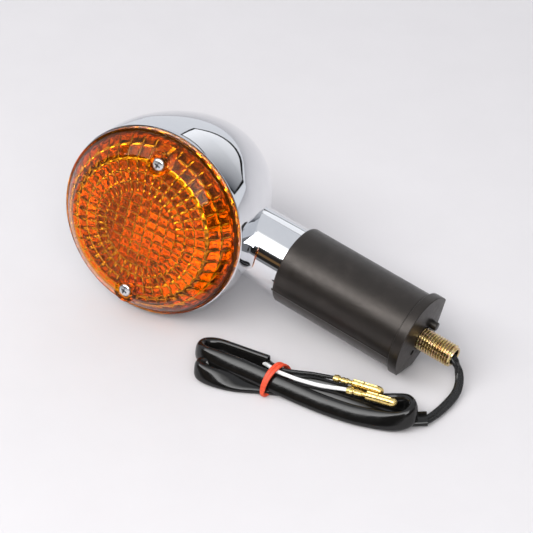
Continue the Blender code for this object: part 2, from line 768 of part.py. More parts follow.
def make_terminal(name, start, end, brass):
    """A bullet terminal: crimp barrel, neck and bullet with a rounded nose."""
    start = Vector(placed([start])[0])
    end = Vector(placed([end])[0])
    length = (end - start).length
    outline = [
        (0, 0),
        (1.45 * MM, 0),
        (1.45 * MM, 5.5 * MM),
        (1.0 * MM, 6.2 * MM),
        (1.0 * MM, 7.6 * MM),
        (BULLET_RADIUS, 8.4 * MM),
        (BULLET_RADIUS, length - 1.6 * MM),
        (BULLET_RADIUS * 0.6, length - 0.4 * MM),
        (0, length),
    ]
    turn = (end - start).to_track_quat("Z", "Y").to_euler()
    return turned(name, outline, None, brass, 16, location=start, rotation=turn)


# ---------------------------------------------------------------- assembly


def rest_rotation():
    """Turns the design frame to the lamp's lying pose: +X along the stem seen from above, +Z up."""
    up_back = -math.sin(LENS_TILT)
    up_along = (-math.sin(STEM_DROP) + up_back * math.sin(STEM_YAW)) / math.cos(STEM_YAW)
    up = Vector((up_along, up_back, math.sqrt(1 - up_along**2 - up_back**2)))
    stem = Vector((math.cos(STEM_YAW), -math.sin(STEM_YAW), 0))
    along = (stem - up * stem.dot(up)).normalized()
    return Matrix((along, up.cross(along), up))


def stand_at_origin(root):
    """Moves the lamp so that the middle of its bounding box's underside is the origin."""
    bpy.context.view_layer.update()
    graph = bpy.context.evaluated_depsgraph_get()
    corners = []
    for obj in bpy.data.objects:
        if obj.type == "EMPTY" or obj.hide_render:
            continue
        seen = obj.evaluated_get(graph)
        mesh = seen.to_mesh()
        corners += [seen.matrix_world @ vertex.co for vertex in mesh.vertices]
        seen.to_mesh_clear()
    low = [min(corner[i] for corner in corners) for i in range(3)]
    high = [max(corner[i] for corner in corners) for i in range(3)]
    root.location -= Vector(((low[0] + high[0]) / 2, (low[1] + high[1]) / 2, low[2]))


def main():
    clear_scene()
    chrome = material("chrome", (0.80, 0.81, 0.83), 0.06, metallic=1.0)
    amber = material("amber_plastic", (0.95, 0.24, 0.02), 0.08, transmission=0.7)
    black_rubber = material("black_rubber", (0.045, 0.042, 0.040), 0.55)
    seal_rubber = material("seal_rubber", (0.06, 0.06, 0.06), 0.7)
    mirror = material("reflector_silver", (0.78, 0.78, 0.76), 0.18, metallic=1.0)
    steel = material("zinc_steel", (0.72, 0.73, 0.74), 0.25, metallic=1.0)
    brass = material("brass", (0.80, 0.60, 0.28), 0.28, metallic=1.0)
    yellow_zinc = material("yellow_zinc", (0.76, 0.58, 0.26), 0.30, metallic=1.0)
    glass = material("bulb_glass", (0.95, 0.95, 0.93), 0.02, transmission=1.0)
    wire = material("bright_wire", (0.62, 0.62, 0.62), 0.3, metallic=1.0)
    solder = material("solder", (0.60, 0.60, 0.62), 0.4, metallic=1.0)
    phenolic = material("phenolic", (0.20, 0.09, 0.04), 0.6)
    black_pvc = material("black_pvc", (0.02, 0.02, 0.02), 0.3)
    band_rubber = material("band_rubber", (0.85, 0.13, 0.05), 0.5)
    white_pvc = material("white_pvc", (0.80, 0.80, 0.80), 0.35)

    root = empty("rest_pose")
    root.rotation_euler = rest_rotation().to_euler()
    pivot = (
        FLEX_CENTRE * math.cos(STEM_YAW),
        STEM_DEPTH - FLEX_CENTRE * math.sin(STEM_YAW),
        0,
    )
    flex = empty("flex_pivot", root, pivot)
    lens_axis = empty("lens_axis", flex, [-value for value in pivot], (-math.pi / 2, 0, 0))
    mount_stem = empty("mount_stem_axis", root, (0, STEM_DEPTH, 0), (0, math.pi / 2, -STEM_YAW))
    head_start = (-pivot[0], STEM_DEPTH - pivot[1], 0)
    head_stem = empty("head_stem_axis", flex, head_start, (0, math.pi / 2, -STEM_YAW))

    make_housing(lens_axis, head_stem, chrome)
    make_stem_tube(lens_axis, head_stem, chrome)
    make_lens(lens_axis, amber)
    make_gasket(lens_axis, seal_rubber)
    make_screw("lens_screw_upper", -1, lens_axis, steel)
    make_screw("lens_screw_lower", 1, lens_axis, steel)
    make_reflector(lens_axis, mirror)
    make_bulb(lens_axis, brass, glass, wire, solder)
    make_socket(lens_axis, steel, phenolic, brass, wire)
    make_leads(lens_axis, black_pvc, white_pvc)
    make_sleeve(mount_stem, black_rubber)
    make_base_plate(mount_stem, black_rubber)
    make_stud(mount_stem, yellow_zinc)
    make_stud_cable(mount_stem, black_pvc)
    stand_at_origin(root)

    make_free_cable(black_pvc)
    make_hank(black_pvc)
    cable("white_tail", placed(WHITE_ROUTE), TAIL_RADIUS, 24, None, white_pvc)
    cable("black_tail", placed(BLACK_ROUTE), TAIL_RADIUS, 20, None, black_pvc)
    make_terminal("white_bullet_terminal", *WHITE_TERMINAL, brass)
    make_terminal("black_bullet_terminal", *BLACK_TERMINAL, brass)
    make_band(band_rubber)


main()
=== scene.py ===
"""The finished turn signal: fine surfaces, materials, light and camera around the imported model.

Shapes are built in metres. Pieces of the lamp are made in two turned frames taken from the record's
joints and mount: LENS (local Z runs into the housing, local Y down) and STEM (local Z runs along the
stem towards the stud, local X down). Pieces that lie on the surface are made in the record's frame.
"""

import json
import math

import bmesh
import bpy
from mathutils import Matrix, Vector, noise


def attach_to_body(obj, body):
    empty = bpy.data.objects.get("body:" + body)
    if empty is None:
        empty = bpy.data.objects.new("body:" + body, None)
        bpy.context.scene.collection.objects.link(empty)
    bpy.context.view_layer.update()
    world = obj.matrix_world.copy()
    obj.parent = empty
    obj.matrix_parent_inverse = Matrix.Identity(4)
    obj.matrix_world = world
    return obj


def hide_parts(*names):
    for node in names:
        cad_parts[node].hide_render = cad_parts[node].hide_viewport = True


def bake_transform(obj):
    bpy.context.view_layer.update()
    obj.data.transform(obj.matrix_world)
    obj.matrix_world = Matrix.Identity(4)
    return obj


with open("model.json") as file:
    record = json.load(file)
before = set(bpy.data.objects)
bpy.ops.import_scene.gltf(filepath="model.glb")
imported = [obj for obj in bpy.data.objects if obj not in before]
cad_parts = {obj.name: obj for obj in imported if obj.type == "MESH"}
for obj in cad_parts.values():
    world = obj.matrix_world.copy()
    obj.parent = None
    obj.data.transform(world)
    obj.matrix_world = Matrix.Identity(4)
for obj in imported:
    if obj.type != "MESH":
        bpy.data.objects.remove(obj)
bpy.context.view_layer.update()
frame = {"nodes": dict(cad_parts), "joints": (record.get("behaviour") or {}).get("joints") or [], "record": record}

MM = 0.001
RECORD = frame["record"]
JOINTS = {joint["name"]: joint for joint in frame["joints"]}

# Lamp sizes, as in the design.
LENS_RADIUS = 42.5 * MM
LENS_FLANGE = 2.2 * MM
LENS_WALL = 2.4 * MM
SHOULDER_RADIUS = 33.6 * MM
SHOULDER_HEIGHT = 10.9 * MM
CROWN_HEIGHT = 12.6 * MM
SCREW_CIRCLE = 31.9 * MM
SCREW_SEAT = 8.9 * MM
SCREW_POCKET_RADIUS = 4.2 * MM
SCREW_PILLAR_RADIUS = 5.6 * MM
SCREW_CLEARANCE = 1.9 * MM
POST_RADIUS = 4.5 * MM
SHELL_RADIUS = 43.1 * MM
SHELL_RIM = 0.3 * MM
SHELL_STRAIGHT = 12.0 * MM
SHELL_DEPTH = 73.0 * MM
SHELL_WALL = 1.5 * MM
SHELL_SIDE_POWER = 0.86
SHELL_DEPTH_POWER = 1.35
LEDGE_RADIUS = 39.8 * MM
LEDGE_DEPTH = 2.9 * MM
REFLECTOR_RADIUS = 34.6 * MM
REFLECTOR_BACK = 37.0 * MM
REFLECTOR_WALL = 0.7 * MM
REFLECTOR_FLANGE = (41.2 * MM, 1.8 * MM)
NECK_RADIUS = 9.6 * MM
CAP_FRONT = 34.0 * MM
CAP_BACK = 50.0 * MM
CAP_RADIUS = 7.5 * MM
GLOBE_RADIUS = 12.4 * MM
GLOBE_DEPTH = 20.5 * MM
TUBE_RADIUS = 15.75 * MM
TUBE_BORE = 14.25 * MM
TUBE_END = 86.0 * MM
FLEX_CENTRE = 100.5 * MM
SLEEVE_START = 61.0 * MM
SLEEVE_END = 121.3 * MM
SLEEVE_RADIUS = 17.6 * MM
SLEEVE_BORE = 4.2 * MM
SLEEVE_BORE_START = 88.0 * MM
PARTING_ANGLES = (math.radians(-68), math.radians(112))
PLATE_START = 121.6 * MM
PLATE_END = 126.0 * MM
PLATE_RADIUS = 19.2 * MM
BOTTOM_FLAT = 13.6 * MM
BACK_FLAT = 12.3 * MM
PEG_RADIUS = 1.9 * MM
PEG_CIRCLE = 7.4 * MM
PEG_ANGLE = 135
DENT_RADIUS = 1.3 * MM
DENT_ANGLE = -45
STUD_RADIUS = 5.0 * MM
STUD_BORE = 3.3 * MM
STUD_END = 142.5 * MM
STUD_HEAD_RADIUS = 11.0 * MM
THREAD_PITCH = 1.25 * MM

# Lens optics: rings of pillows on the face and the sloping side, and a field of small ones in the middle.
RIBS = 40
RING_PITCH = 4.8 * MM
FIELD_RADIUS = 16.8 * MM
FIELD_WIDTH = 4.8 * MM
FIELD_LENGTH = 4.3 * MM
PILLOW_HEIGHT = 1.05 * MM
SIDE_BULGE = 0.8 * MM
CELL_STEPS = 10


def frame_of(origin, x, y, z):
    """The matrix whose axes are x, y and z, at origin."""
    rows = [(*row, place) for row, place in zip(zip(x, y, z), origin)]
    return Matrix((*rows, (0, 0, 0, 1)))


def lens_frame():
    """At the middle of the lens's seat, 9 mm below the places of the two screws' joints."""
    outward = Vector(JOINTS["lens_removal"]["axis"])
    upper = Vector(JOINTS["upper_screw_turn"]["pos_m"])
    lower = Vector(JOINTS["lower_screw_turn"]["pos_m"])
    down = (lower - upper).normalized()
    seat = (upper + lower) / 2 - outward * 9 * MM
    return frame_of(seat, down.cross(-outward), down, -outward)


def stem_frame():
    """Where the stem's axis starts, at FLEX_CENTRE before the flex joint."""
    along = Vector(RECORD["mounts"][0]["axis"])
    down = -Vector(JOINTS["stem_flex"]["axis"])
    start = Vector(JOINTS["stem_flex"]["pos_m"]) - along * FLEX_CENTRE
    return frame_of(start, down, along.cross(down), along)


LENS = lens_frame()
STEM = stem_frame()


def at_screw(side):
    """The lens frame moved to a screw's axis: side is -1 for the upper screw and 1 for the lower one."""
    return LENS @ Matrix.Translation((0, side * SCREW_CIRCLE, 0))


def attach(obj, body, node):
    """What the piece moves with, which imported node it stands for."""
    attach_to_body(obj, body)
    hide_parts(node)


# ---------------- camera

CAMERA_PLACE = Vector((0.4591, -0.6174, 0.5822))
CAMERA_RIGHT = Vector((0.81, 0.5859, -0.0268)).normalized()
CAMERA_BACK = Vector((0.487, -0.6464, 0.5874)).normalized()
CAMERA_LENS = 148.6
CAMERA_SENSOR = 36.0


def make_camera():
    camera = bpy.data.objects.new("camera", bpy.data.cameras.new("camera"))
    bpy.context.scene.collection.objects.link(camera)
    camera.data.lens = CAMERA_LENS
    camera.data.sensor_width = CAMERA_SENSOR
    up = CAMERA_BACK.cross(CAMERA_RIGHT).normalized()
    camera.matrix_world = frame_of(CAMERA_PLACE, up.cross(CAMERA_BACK), up, CAMERA_BACK)
    bpy.context.scene.camera = camera


make_camera()


# ---------------- mesh helpers


def piece(name, points, faces, surface, matrix=None, sharp=35):
    """A mesh object from points and faces, facing out and smooth below the sharp angle."""
    bm = bmesh.new()
    verts = [bm.verts.new(point) for point in points]
    for face in faces:
        bm.faces.new([verts[i] for i in face])
    return piece_of(name, bm, surface, matrix, sharp)


def piece_of(name, bm, surface, matrix=None, sharp=35):
    bmesh.ops.remove_doubles(bm, verts=bm.verts, dist=1e-7)
    bmesh.ops.recalc_face_normals(bm, faces=bm.faces)
    if bm.calc_volume(signed=True) < 0:
        bmesh.ops.reverse_faces(bm, faces=bm.faces)
    mesh = bpy.data.meshes.new(name)
    bm.to_mesh(mesh)
    bm.free()
    if matrix:
        mesh.transform(matrix)
    mesh.materials.append(surface)
    obj = bpy.data.objects.new(name, mesh)
    bpy.context.scene.collection.objects.link(obj)
    shade(obj, sharp)
    return obj


def shade(obj, sharp=35):
    obj.data.shade_smooth()
    obj.data.set_sharp_from_angle(angle=math.radians(sharp))


def grid(rows):
    """Points and faces of rows of equal length, each row closed round; a row of one point is a tip."""
    points = []
    starts = []
    for row in rows:
        starts.append(len(points))
        points.extend(row)
    faces = []
    for (a, first), (b, second) in zip(zip(starts, rows), zip(starts[1:], rows[1:])):
        count = max(len(first), len(second))
        for i in range(count):
            j = (i + 1) % count
            if len(first) == 1:
                faces.append((a, b + i, b + j))
            elif len(second) == 1:
                faces.append((a + i, b, a + j))
            else:
                faces.append((a + i, b + i, b + j, a + j))
    return points, faces


def turns_of(count):
    """The angles of a full turn in count even steps."""
    return [2 * math.pi * i / count for i in range(count)]


def polar(radius, turn, height):
    return Vector((radius * math.cos(turn), radius * math.sin(turn), height))


def ring(radius, height, segments):
    if radius <= 0:
        return [Vector((0, 0, height))]
    return [polar(radius, turn, height) for turn in turns_of(segments)]


def lathe(name, outline, surface, matrix, segments):
    """Revolves a closed outline of (radius, height) points about local Z."""
    rows = [ring(radius, height, segments) for radius, height in outline]
    if len(rows[0]) > 1:
        rows.append(rows[0])
    return piece(name, *grid(rows), surface, matrix)


def near(radius, height, *steps):
    """Outline points at steps in millimetres from (radius, height)."""
    return [(radius + x * MM, height + y * MM) for x, y in steps]


def rod_outline(radius, start, end):
    return [(0.0, start), (radius, start), (radius, end), (0.0, end)]


def rounded(outline, radius):
    """The closed outline with its corners replaced by curves that start radius away from them."""
    points = []
    count = len(outline)
    for i, corner in enumerate(outline):
        here = Vector(corner)
        before = Vector(outline[i - 1]) - here
        after = Vector(outline[(i + 1) % count]) - here
        on_axis = here.x <= 0
        if on_axis or min(before.length, after.length) < 1e-9:
            points.append(tuple(here))
            continue
        reach = min(radius, before.length * 0.45, after.length * 0.45)
        start = here + before.normalized() * reach
        end = here + after.normalized() * reach
        for t in (0.0, 0.25, 0.5, 0.75, 1.0):
            points.append(tuple(start * (1 - t) ** 2 + here * 2 * t * (1 - t) + end * t * t))
    return points


def cut(obj, other, operation="DIFFERENCE"):
    """Applies a Boolean with the other object, and removes that object."""
    modifier = obj.modifiers.new("cut", "BOOLEAN")
    modifier.operation = operation
    modifier.solver = "MANIFOLD"
    modifier.object = other
    bpy.context.view_layer.update()
    shaped = bpy.data.meshes.new_from_object(obj.evaluated_get(bpy.context.evaluated_depsgraph_get()))
    obj.modifiers.clear()
    obj.data = shaped
    bpy.data.objects.remove(other)
    shade(obj)


def arc(radius, start, end, steps):
    angles = [math.radians(start + (end - start) * i / steps) for i in range(steps + 1)]
    return [(radius * math.cos(a), radius * math.sin(a)) for a in angles]


def between(before, a, b, after, t):
    """The point at t, from 0 to 1, on the Catmull-Rom curve from a to b."""
    return (
        a
        + (b - before) * (t / 2)
        + (before * 2 - a * 5 + b * 4 - after) * (t * t / 2)
        + (a * 3 - before - b * 3 + after) * (t * t * t / 2)
    )


def spline(points, count):
    """Reads count points at even spacing from a Catmull-Rom curve through points of any dimension."""
    ends = [points[0] * 2 - points[1], *points, points[-1] * 2 - points[-2]]
    fine = []
    for span in zip(ends, ends[1:], ends[2:], ends[3:]):
        fine.extend(between(*span, step / 16) for step in range(16))
    fine.append(points[-1])
    lengths = [0.0]
    for a, b in zip(fine, fine[1:]):
        lengths.append(lengths[-1] + (b.to_3d() - a.to_3d()).length)
    path = []
    at = 0
    for i in range(count):
        wanted = lengths[-1] * i / (count - 1)
        while at < len(fine) - 2 and lengths[at + 1] < wanted:
            at += 1
        share = (wanted - lengths[at]) / (lengths[at + 1] - lengths[at])
        path.append(fine[at].lerp(fine[at + 1], min(1.0, share)))
    return path


def closed_spline(points, count):
    """Points along a closed Catmull-Rom curve."""
    total = len(points)
    path = []
    for k in range(count):
        at = total * k / count
        i = int(at)
        path.append(between(*(points[(i + step) % total] for step in (-1, 0, 1, 2)), at - i))
    return path


def length_of(path):
    return sum((b - a).length for a, b in zip(path, path[1:]))


def strip_frames(stations):
    """For each (x, y, z, lean): its centre, the flat side's direction and the direction through it.

    A lean of 0 stands the strip on edge; a positive one tips its top to the right of the way it runs.
    """
    centres = [Vector(s[:3]) for s in stations]
    frames = []
    for i, (centre, station) in enumerate(zip(centres, stations)):
        tangent = (centres[min(i + 1, len(centres) - 1)] - centres[max(i - 1, 0)]).normalized()
        right = tangent.cross(Vector((0, 0, 1))).normalized()
        up = right.cross(tangent)
        lean = math.radians(station[3])
        across = up * math.cos(lean) + right * math.sin(lean)
        frames.append((centre, across, tangent.cross(across), tangent))
    return frames


def strip(name, frames, outline, surface, inner=None, wrinkle=None):
    """Sweeps a closed (across, through) outline along the frames, solid or with inner as its bore."""
    rows = []
    for i, (centre, across, through, _) in enumerate(frames):
        grow = wrinkle(i) if wrinkle else 1.0
        points = [centre + across * a + through * b * grow for a, b in outline]
        rows.append([Vector((point.x, point.y, max(point.z, 0.0))) for point in points])
    if inner:
        bore = [[c + across * a + through * b for a, b in inner] for c, across, through, _ in frames]
        rows = [*rows, *reversed(bore), rows[0]]
    else:
        rows = [[frames[0][0]], *rows, [frames[-1][0]]]
    return piece(name, *grid(rows), surface, sharp=50)


def oval(width, thickness, power, steps=28):
    """A closed superellipse outline."""
    points = []
    for turn in turns_of(steps):
        c, s = math.cos(turn), math.sin(turn)
        x = width / 2 * math.copysign(abs(c) ** (2 / power), c)
        y = thickness / 2 * math.copysign(abs(s) ** (2 / power), s)
        points.append((x, y))
    return points


# ---------------- materials


class Finish:
    """A Principled material whose colour, roughness and bump come from nodes in rest coordinates."""

    def __init__(self, name, colour, roughness, metallic=0.0, **sockets):
        self.material = bpy.data.materials.new(name)
        self.material.use_nodes = True
        self.nodes = self.material.node_tree.nodes
        self.links = self.material.node_tree.links
        self.shader = self.nodes["Principled BSDF"]
        self.feed(self.shader, Base_Color=(*colour, 1.0), Roughness=roughness, Metallic=metallic, **sockets)
        self.place = self.nodes.new("ShaderNodeTexCoord").outputs["Object"]
        self.normal = None

    def feed(self, node, **inputs):
        """Links each named input to its value where that is a socket, and sets it where it isn't."""
        for name, value in inputs.items():
            socket = node.inputs[name.replace("_", " ")]
            if isinstance(value, bpy.types.NodeSocket):
                self.links.new(value, socket)
            else:
                socket.default_value = value

    def node(self, kind, **inputs):
        node = self.nodes.new("ShaderNode" + kind)
        self.feed(node, **inputs)
        return node

    def noise(self, size, detail=3.0, roughness=0.55, stretch=None):
        """Noise whose features are about size metres across, with each axis scaled by stretch."""
        place = self.place
        if stretch:
            place = self.node("Mapping", Scale=stretch, Vector=place).outputs["Vector"]
        grain = self.node("TexNoise", Scale=1.0 / size, Detail=detail, Roughness=roughness, Vector=place)
        return grain.outputs["Fac"]

    def cells(self, size):
        """Distance to the nearest of points about size metres apart."""
        return self.node("TexVoronoi", Scale=1.0 / size, Vector=self.place).outputs["Distance"]

    def span(self, value, low, high, start, end):
        """value, mapped from start and end to low and high."""
        span = self.node("MapRange", Value=value, From_Min=start, From_Max=end, To_Min=low, To_Max=high)
        return span.outputs["Result"]

    def ramp(self, value, *stops):
        """A colour that follows value through stops of (position, colour)."""
        node = self.node("ValToRGB", Fac=value)
        elements = node.color_ramp.elements
        while len(elements) < len(stops):
            elements.new(0.5)
        for element, (position, colour) in zip(elements, stops):
            element.position = position
            element.color = (*colour, 1.0)
        return node.outputs["Color"]

    def colours(self, value, *stops):
        """Colours the surface by value, with stops of (position, colour)."""
        self.feed(self.shader, Base_Color=self.ramp(value, *stops))
        return self

    def paint_shade_in_hollows(self, reach, darkest):
        """Painted shade in the hollows narrower than reach: ambient occlusion darkens the colour down to darkest.
        """
        hollow = self.node("AmbientOcclusion", Distance=reach)
        hollow.samples = 8
        shade_tone = self.span(hollow.outputs["AO"], darkest, 1.0, 0.35, 0.9)
        colour = self.shader.inputs["Base Color"].links[0].from_socket
        mix = self.node("Mix")
        mix.data_type = "RGBA"
        mix.blend_type = "MULTIPLY"
        self.feed(mix, Factor=1.0, A=colour, B=shade_tone)
        self.feed(self.shader, Base_Color=mix.outputs["Result"])
        return self

    def rough(self, value, low, high):
        self.feed(self.shader, Roughness=self.span(value, low, high, 0.3, 0.7))
        return self

    def grained(self, grain, dark, pale, low, high, depth):
        """Colour from dark to pale, roughness from low to high and a bump, all from one grain."""
        return self.colours(grain, (0.3, dark), (0.7, pale)).rough(grain, low, high).bump(grain, depth)

    def bump(self, value, depth, strength=1.0):
        """Raises the surface by value times depth metres, on top of any bump so far."""
        bump = self.node("Bump", Strength=strength, Distance=depth, Height=value)
        if self.normal:
            self.feed(bump, Normal=self.normal)
        self.normal = bump.outputs["Normal"]
        self.feed(self.shader, Normal=self.normal)
        return self


def make_chrome():
    chrome = Finish("chrome", (0.77, 0.78, 0.805), 0.045, 1.0)
    soft = chrome.noise(9 * MM, 4.0)
    chrome.colours(soft, (0.3, (0.75, 0.765, 0.79)), (0.7, (0.79, 0.80, 0.82)))
    chrome.rough(chrome.noise(2.2 * MM, 5.0), 0.028, 0.065)
    return chrome.bump(soft, 0.012 * MM, 0.5).material


def make_amber():
    haze = (0.40, 0.32, 0.26, 1.0)
    sockets = {"Transmission_Weight": 0.98, "IOR": 1.49, "Specular_Tint": haze}
    amber = Finish("amber_plastic", (1.0, 0.33, 0.006), 0.02, **sockets)
    flow = amber.noise(6 * MM, 3.0)
    amber.colours(flow, (0.3, (1.0, 0.31, 0.004)), (0.7, (1.0, 0.35, 0.008)))
    amber.rough(amber.noise(1.4 * MM, 4.0), 0.012, 0.04)
    return amber.bump(flow, 0.02 * MM, 0.4).material


def make_mirror():
    mirror = Finish("pressed_reflector", (0.69, 0.68, 0.66), 0.04, 1.0)
    spun = mirror.noise(1.1 * MM, 5.0)
    mirror.colours(spun, (0.3, (0.62, 0.61, 0.59)), (0.7, (0.76, 0.75, 0.73)))
    mirror.rough(spun, 0.02, 0.06)
    return mirror.bump(mirror.noise(3.5 * MM), 0.06 * MM, 0.6).material


def make_zinc():
    zinc = Finish("zinc_steel", (0.74, 0.75, 0.77), 0.26, 1.0)
    spots = zinc.noise(0.5 * MM, 5.0)
    zinc.colours(spots, (0.3, (0.60, 0.61, 0.63)), (0.7, (0.86, 0.87, 0.89)))
    # Painted shade: the screw's cross recess and thread grooves are darkened by ambient occlusion.
    zinc.paint_shade_in_hollows(1.2 * MM, 0.03)
    zinc.rough(spots, 0.16, 0.36)
    return zinc.bump(zinc.noise(0.25 * MM), 0.01 * MM, 0.5).material


def make_yellow_zinc():
    """Yellow-passivated zinc: gold with pink and green tints, and painted shade in the thread's grooves."""
    plated = Finish("yellow_zinc", (0.80, 0.62, 0.28), 0.3, 1.0)
    tint = plated.noise(3.2 * MM, 2.0, 0.5)
    plated.colours(
        tint,
        (0.34, (0.58, 0.36, 0.18)),
        (0.42, (0.70, 0.53, 0.22)),
        (0.52, (0.80, 0.66, 0.33)),
        (0.58, (0.78, 0.47, 0.35)),
        (0.64, (0.69, 0.58, 0.25)),
        (0.72, (0.50, 0.56, 0.33)),
    )
    # Painted shade: the stud's thread grooves are darkened by ambient occlusion.
    plated.paint_shade_in_hollows(0.9 * MM, 0.14)
    plated.rough(plated.noise(0.5 * MM, 4.0), 0.16, 0.30)
    return plated.bump(plated.noise(0.4 * MM), 0.008 * MM, 0.5).material


def make_brass():
    brass = Finish("brass", (0.88, 0.66, 0.24), 0.24, 1.0)
    tarnish = brass.noise(0.9 * MM, 5.0, 0.6)
    brass.colours(
        tarnish, (0.30, (0.55, 0.34, 0.08)), (0.45, (0.86, 0.62, 0.20)), (0.72, (0.96, 0.80, 0.40))
    )
    # Painted shade: the hollows of the brass parts are darkened by ambient occlusion.
    brass.paint_shade_in_hollows(1.0 * MM, 0.12)
    brass.rough(brass.noise(0.4 * MM, 4.0), 0.15, 0.34)
    return brass.bump(brass.noise(0.3 * MM, 4.0), 0.03 * MM, 0.6).material


def make_sleeve_rubber():
    sockets = {"Specular_IOR_Level": 0.46, "Specular_Tint": (1.0, 0.91, 0.85, 1.0)}
    rubber = Finish("moulded_rubber", (0.014, 0.012, 0.011), 0.34, **sockets)
    bloom = rubber.noise(7 * MM, 5.0, 0.62)
    rubber.colours(
        bloom, (0.32, (0.009, 0.008, 0.007)), (0.56, (0.013, 0.011, 0.010)), (0.80, (0.021, 0.018, 0.016))
    )
    rubber.rough(rubber.noise(2.4 * MM, 5.0), 0.28, 0.40)
    rubber.bump(rubber.cells(0.32 * MM), 0.012 * MM, 0.5)
    return rubber.bump(rubber.noise(0.9 * MM, 4.0), 0.018 * MM, 0.5).material


def make_pvc(name, dark, pale, low, high):
    """Soft PVC insulation, a little uneven, as it comes off the extruder."""
    pvc = Finish(name, dark, low, Specular_IOR_Level=0.42)
    streaks = pvc.noise(3.0 * MM, 4.0)
    pvc.colours(streaks, (0.3, dark), (0.7, pale))
    pvc.rough(pvc.noise(1.6 * MM, 4.0), low, high)
    return pvc.bump(streaks, 0.05 * MM, 0.5).material


def make_band_rubber():
    sockets = {"Subsurface_Weight": 0.12, "Subsurface_Scale": 1.0 * MM}
    rubber = Finish("elastic_band", (0.78, 0.075, 0.022), 0.5, **sockets)
    grain = rubber.noise(0.8 * MM, 4.0, 0.6)
    rubber.colours(
        grain, (0.3, (0.60, 0.045, 0.018)), (0.6, (0.82, 0.085, 0.025)), (0.8, (0.92, 0.16, 0.06))
    )
    rubber.rough(grain, 0.36, 0.6)
    return rubber.bump(rubber.noise(0.35 * MM), 0.03 * MM, 0.6).material


def make_glass():
    glass = Finish("lamp_glass", (0.98, 0.98, 0.97), 0.01, Transmission_Weight=1.0, IOR=1.5)
    flow = glass.noise(5 * MM)
    glass.colours(flow, (0.3, (0.95, 0.96, 0.95)), (0.7, (1.0, 1.0, 1.0)))
    return glass.bump(flow, 0.03 * MM, 0.4).material


def make_phenolic():
    board = Finish("insulating_board", (0.20, 0.09, 0.04), 0.6)
    fibre = board.noise(0.6 * MM, 5.0, 0.7, (1.0, 1.0, 0.2))
    return board.grained(fibre, (0.13, 0.055, 0.025), (0.28, 0.13, 0.06), 0.5, 0.72, 0.02 * MM).material


def make_solder():
    solder = Finish("solder", (0.55, 0.55, 0.56), 0.4, 1.0)
    skin = solder.noise(0.5 * MM, 5.0)
    return solder.grained(skin, (0.42, 0.42, 0.43), (0.68, 0.68, 0.70), 0.28, 0.5, 0.05 * MM).material


def make_wire():
    wire = Finish("bright_wire", (0.66, 0.66, 0.68), 0.22, 1.0)
    drawn = wire.noise(0.3 * MM, 4.0)
    return wire.grained(drawn, (0.52, 0.52, 0.54), (0.80, 0.80, 0.83), 0.15, 0.32, 0.01 * MM).material


CHROME = make_chrome()
AMBER = make_amber()
MIRROR = make_mirror()
ZINC = make_zinc()
YELLOW_ZINC = make_yellow_zinc()
BRASS = make_brass()
RUBBER = make_sleeve_rubber()
BLACK_PVC = make_pvc("black_pvc", (0.004, 0.004, 0.004), (0.007, 0.0065, 0.006), 0.10, 0.20)
CABLE_PVC = make_pvc("cable_pvc", (0.007, 0.007, 0.007), (0.012, 0.012, 0.012), 0.22, 0.32)
WHITE_PVC = make_pvc("white_pvc", (0.78, 0.78, 0.77), (0.86, 0.86, 0.85), 0.30, 0.42)
BAND_RUBBER = make_band_rubber()
GLASS = make_glass()
PHENOLIC = make_phenolic()
SOLDER = make_solder()
WIRE = make_wire()


# ---------------- cords

def in_metres(*points):
    """Points given in millimetres, each followed by its lean in degrees where it has one."""
    return [(*(round(value * MM, 4) for value in point[:3]), *point[3:]) for point in points]


CABLE_WIDTH = 4.0 * MM
CABLE_THICKNESS = 2.2 * MM
SLEEVE_WIDTH = 8.0 * MM
SLEEVE_THICKNESS = 3.4 * MM
SLEEVE_WALL = 0.5 * MM
TAIL_DIAMETER = 1.7 * MM
# The flat cable from the stud into the sleeve: its middle line, and its lean in degrees.
CABLE_ROUTE = in_metres(
    (89.0, 0.1, 12.8, 88), (90.7, -0.2, 11.0, 80), (92.5, -0.4, 7.2, 66), (94.4, -2.9, 4.4, 52),
    (96.0, -7.5, 2.9, 52), (96.7, -13.7, 2.4, 58), (96.4, -21.3, 2.1, 68), (95.4, -27.1, 1.9, 84),
    (94.4, -29.9, 1.9, 90),
)
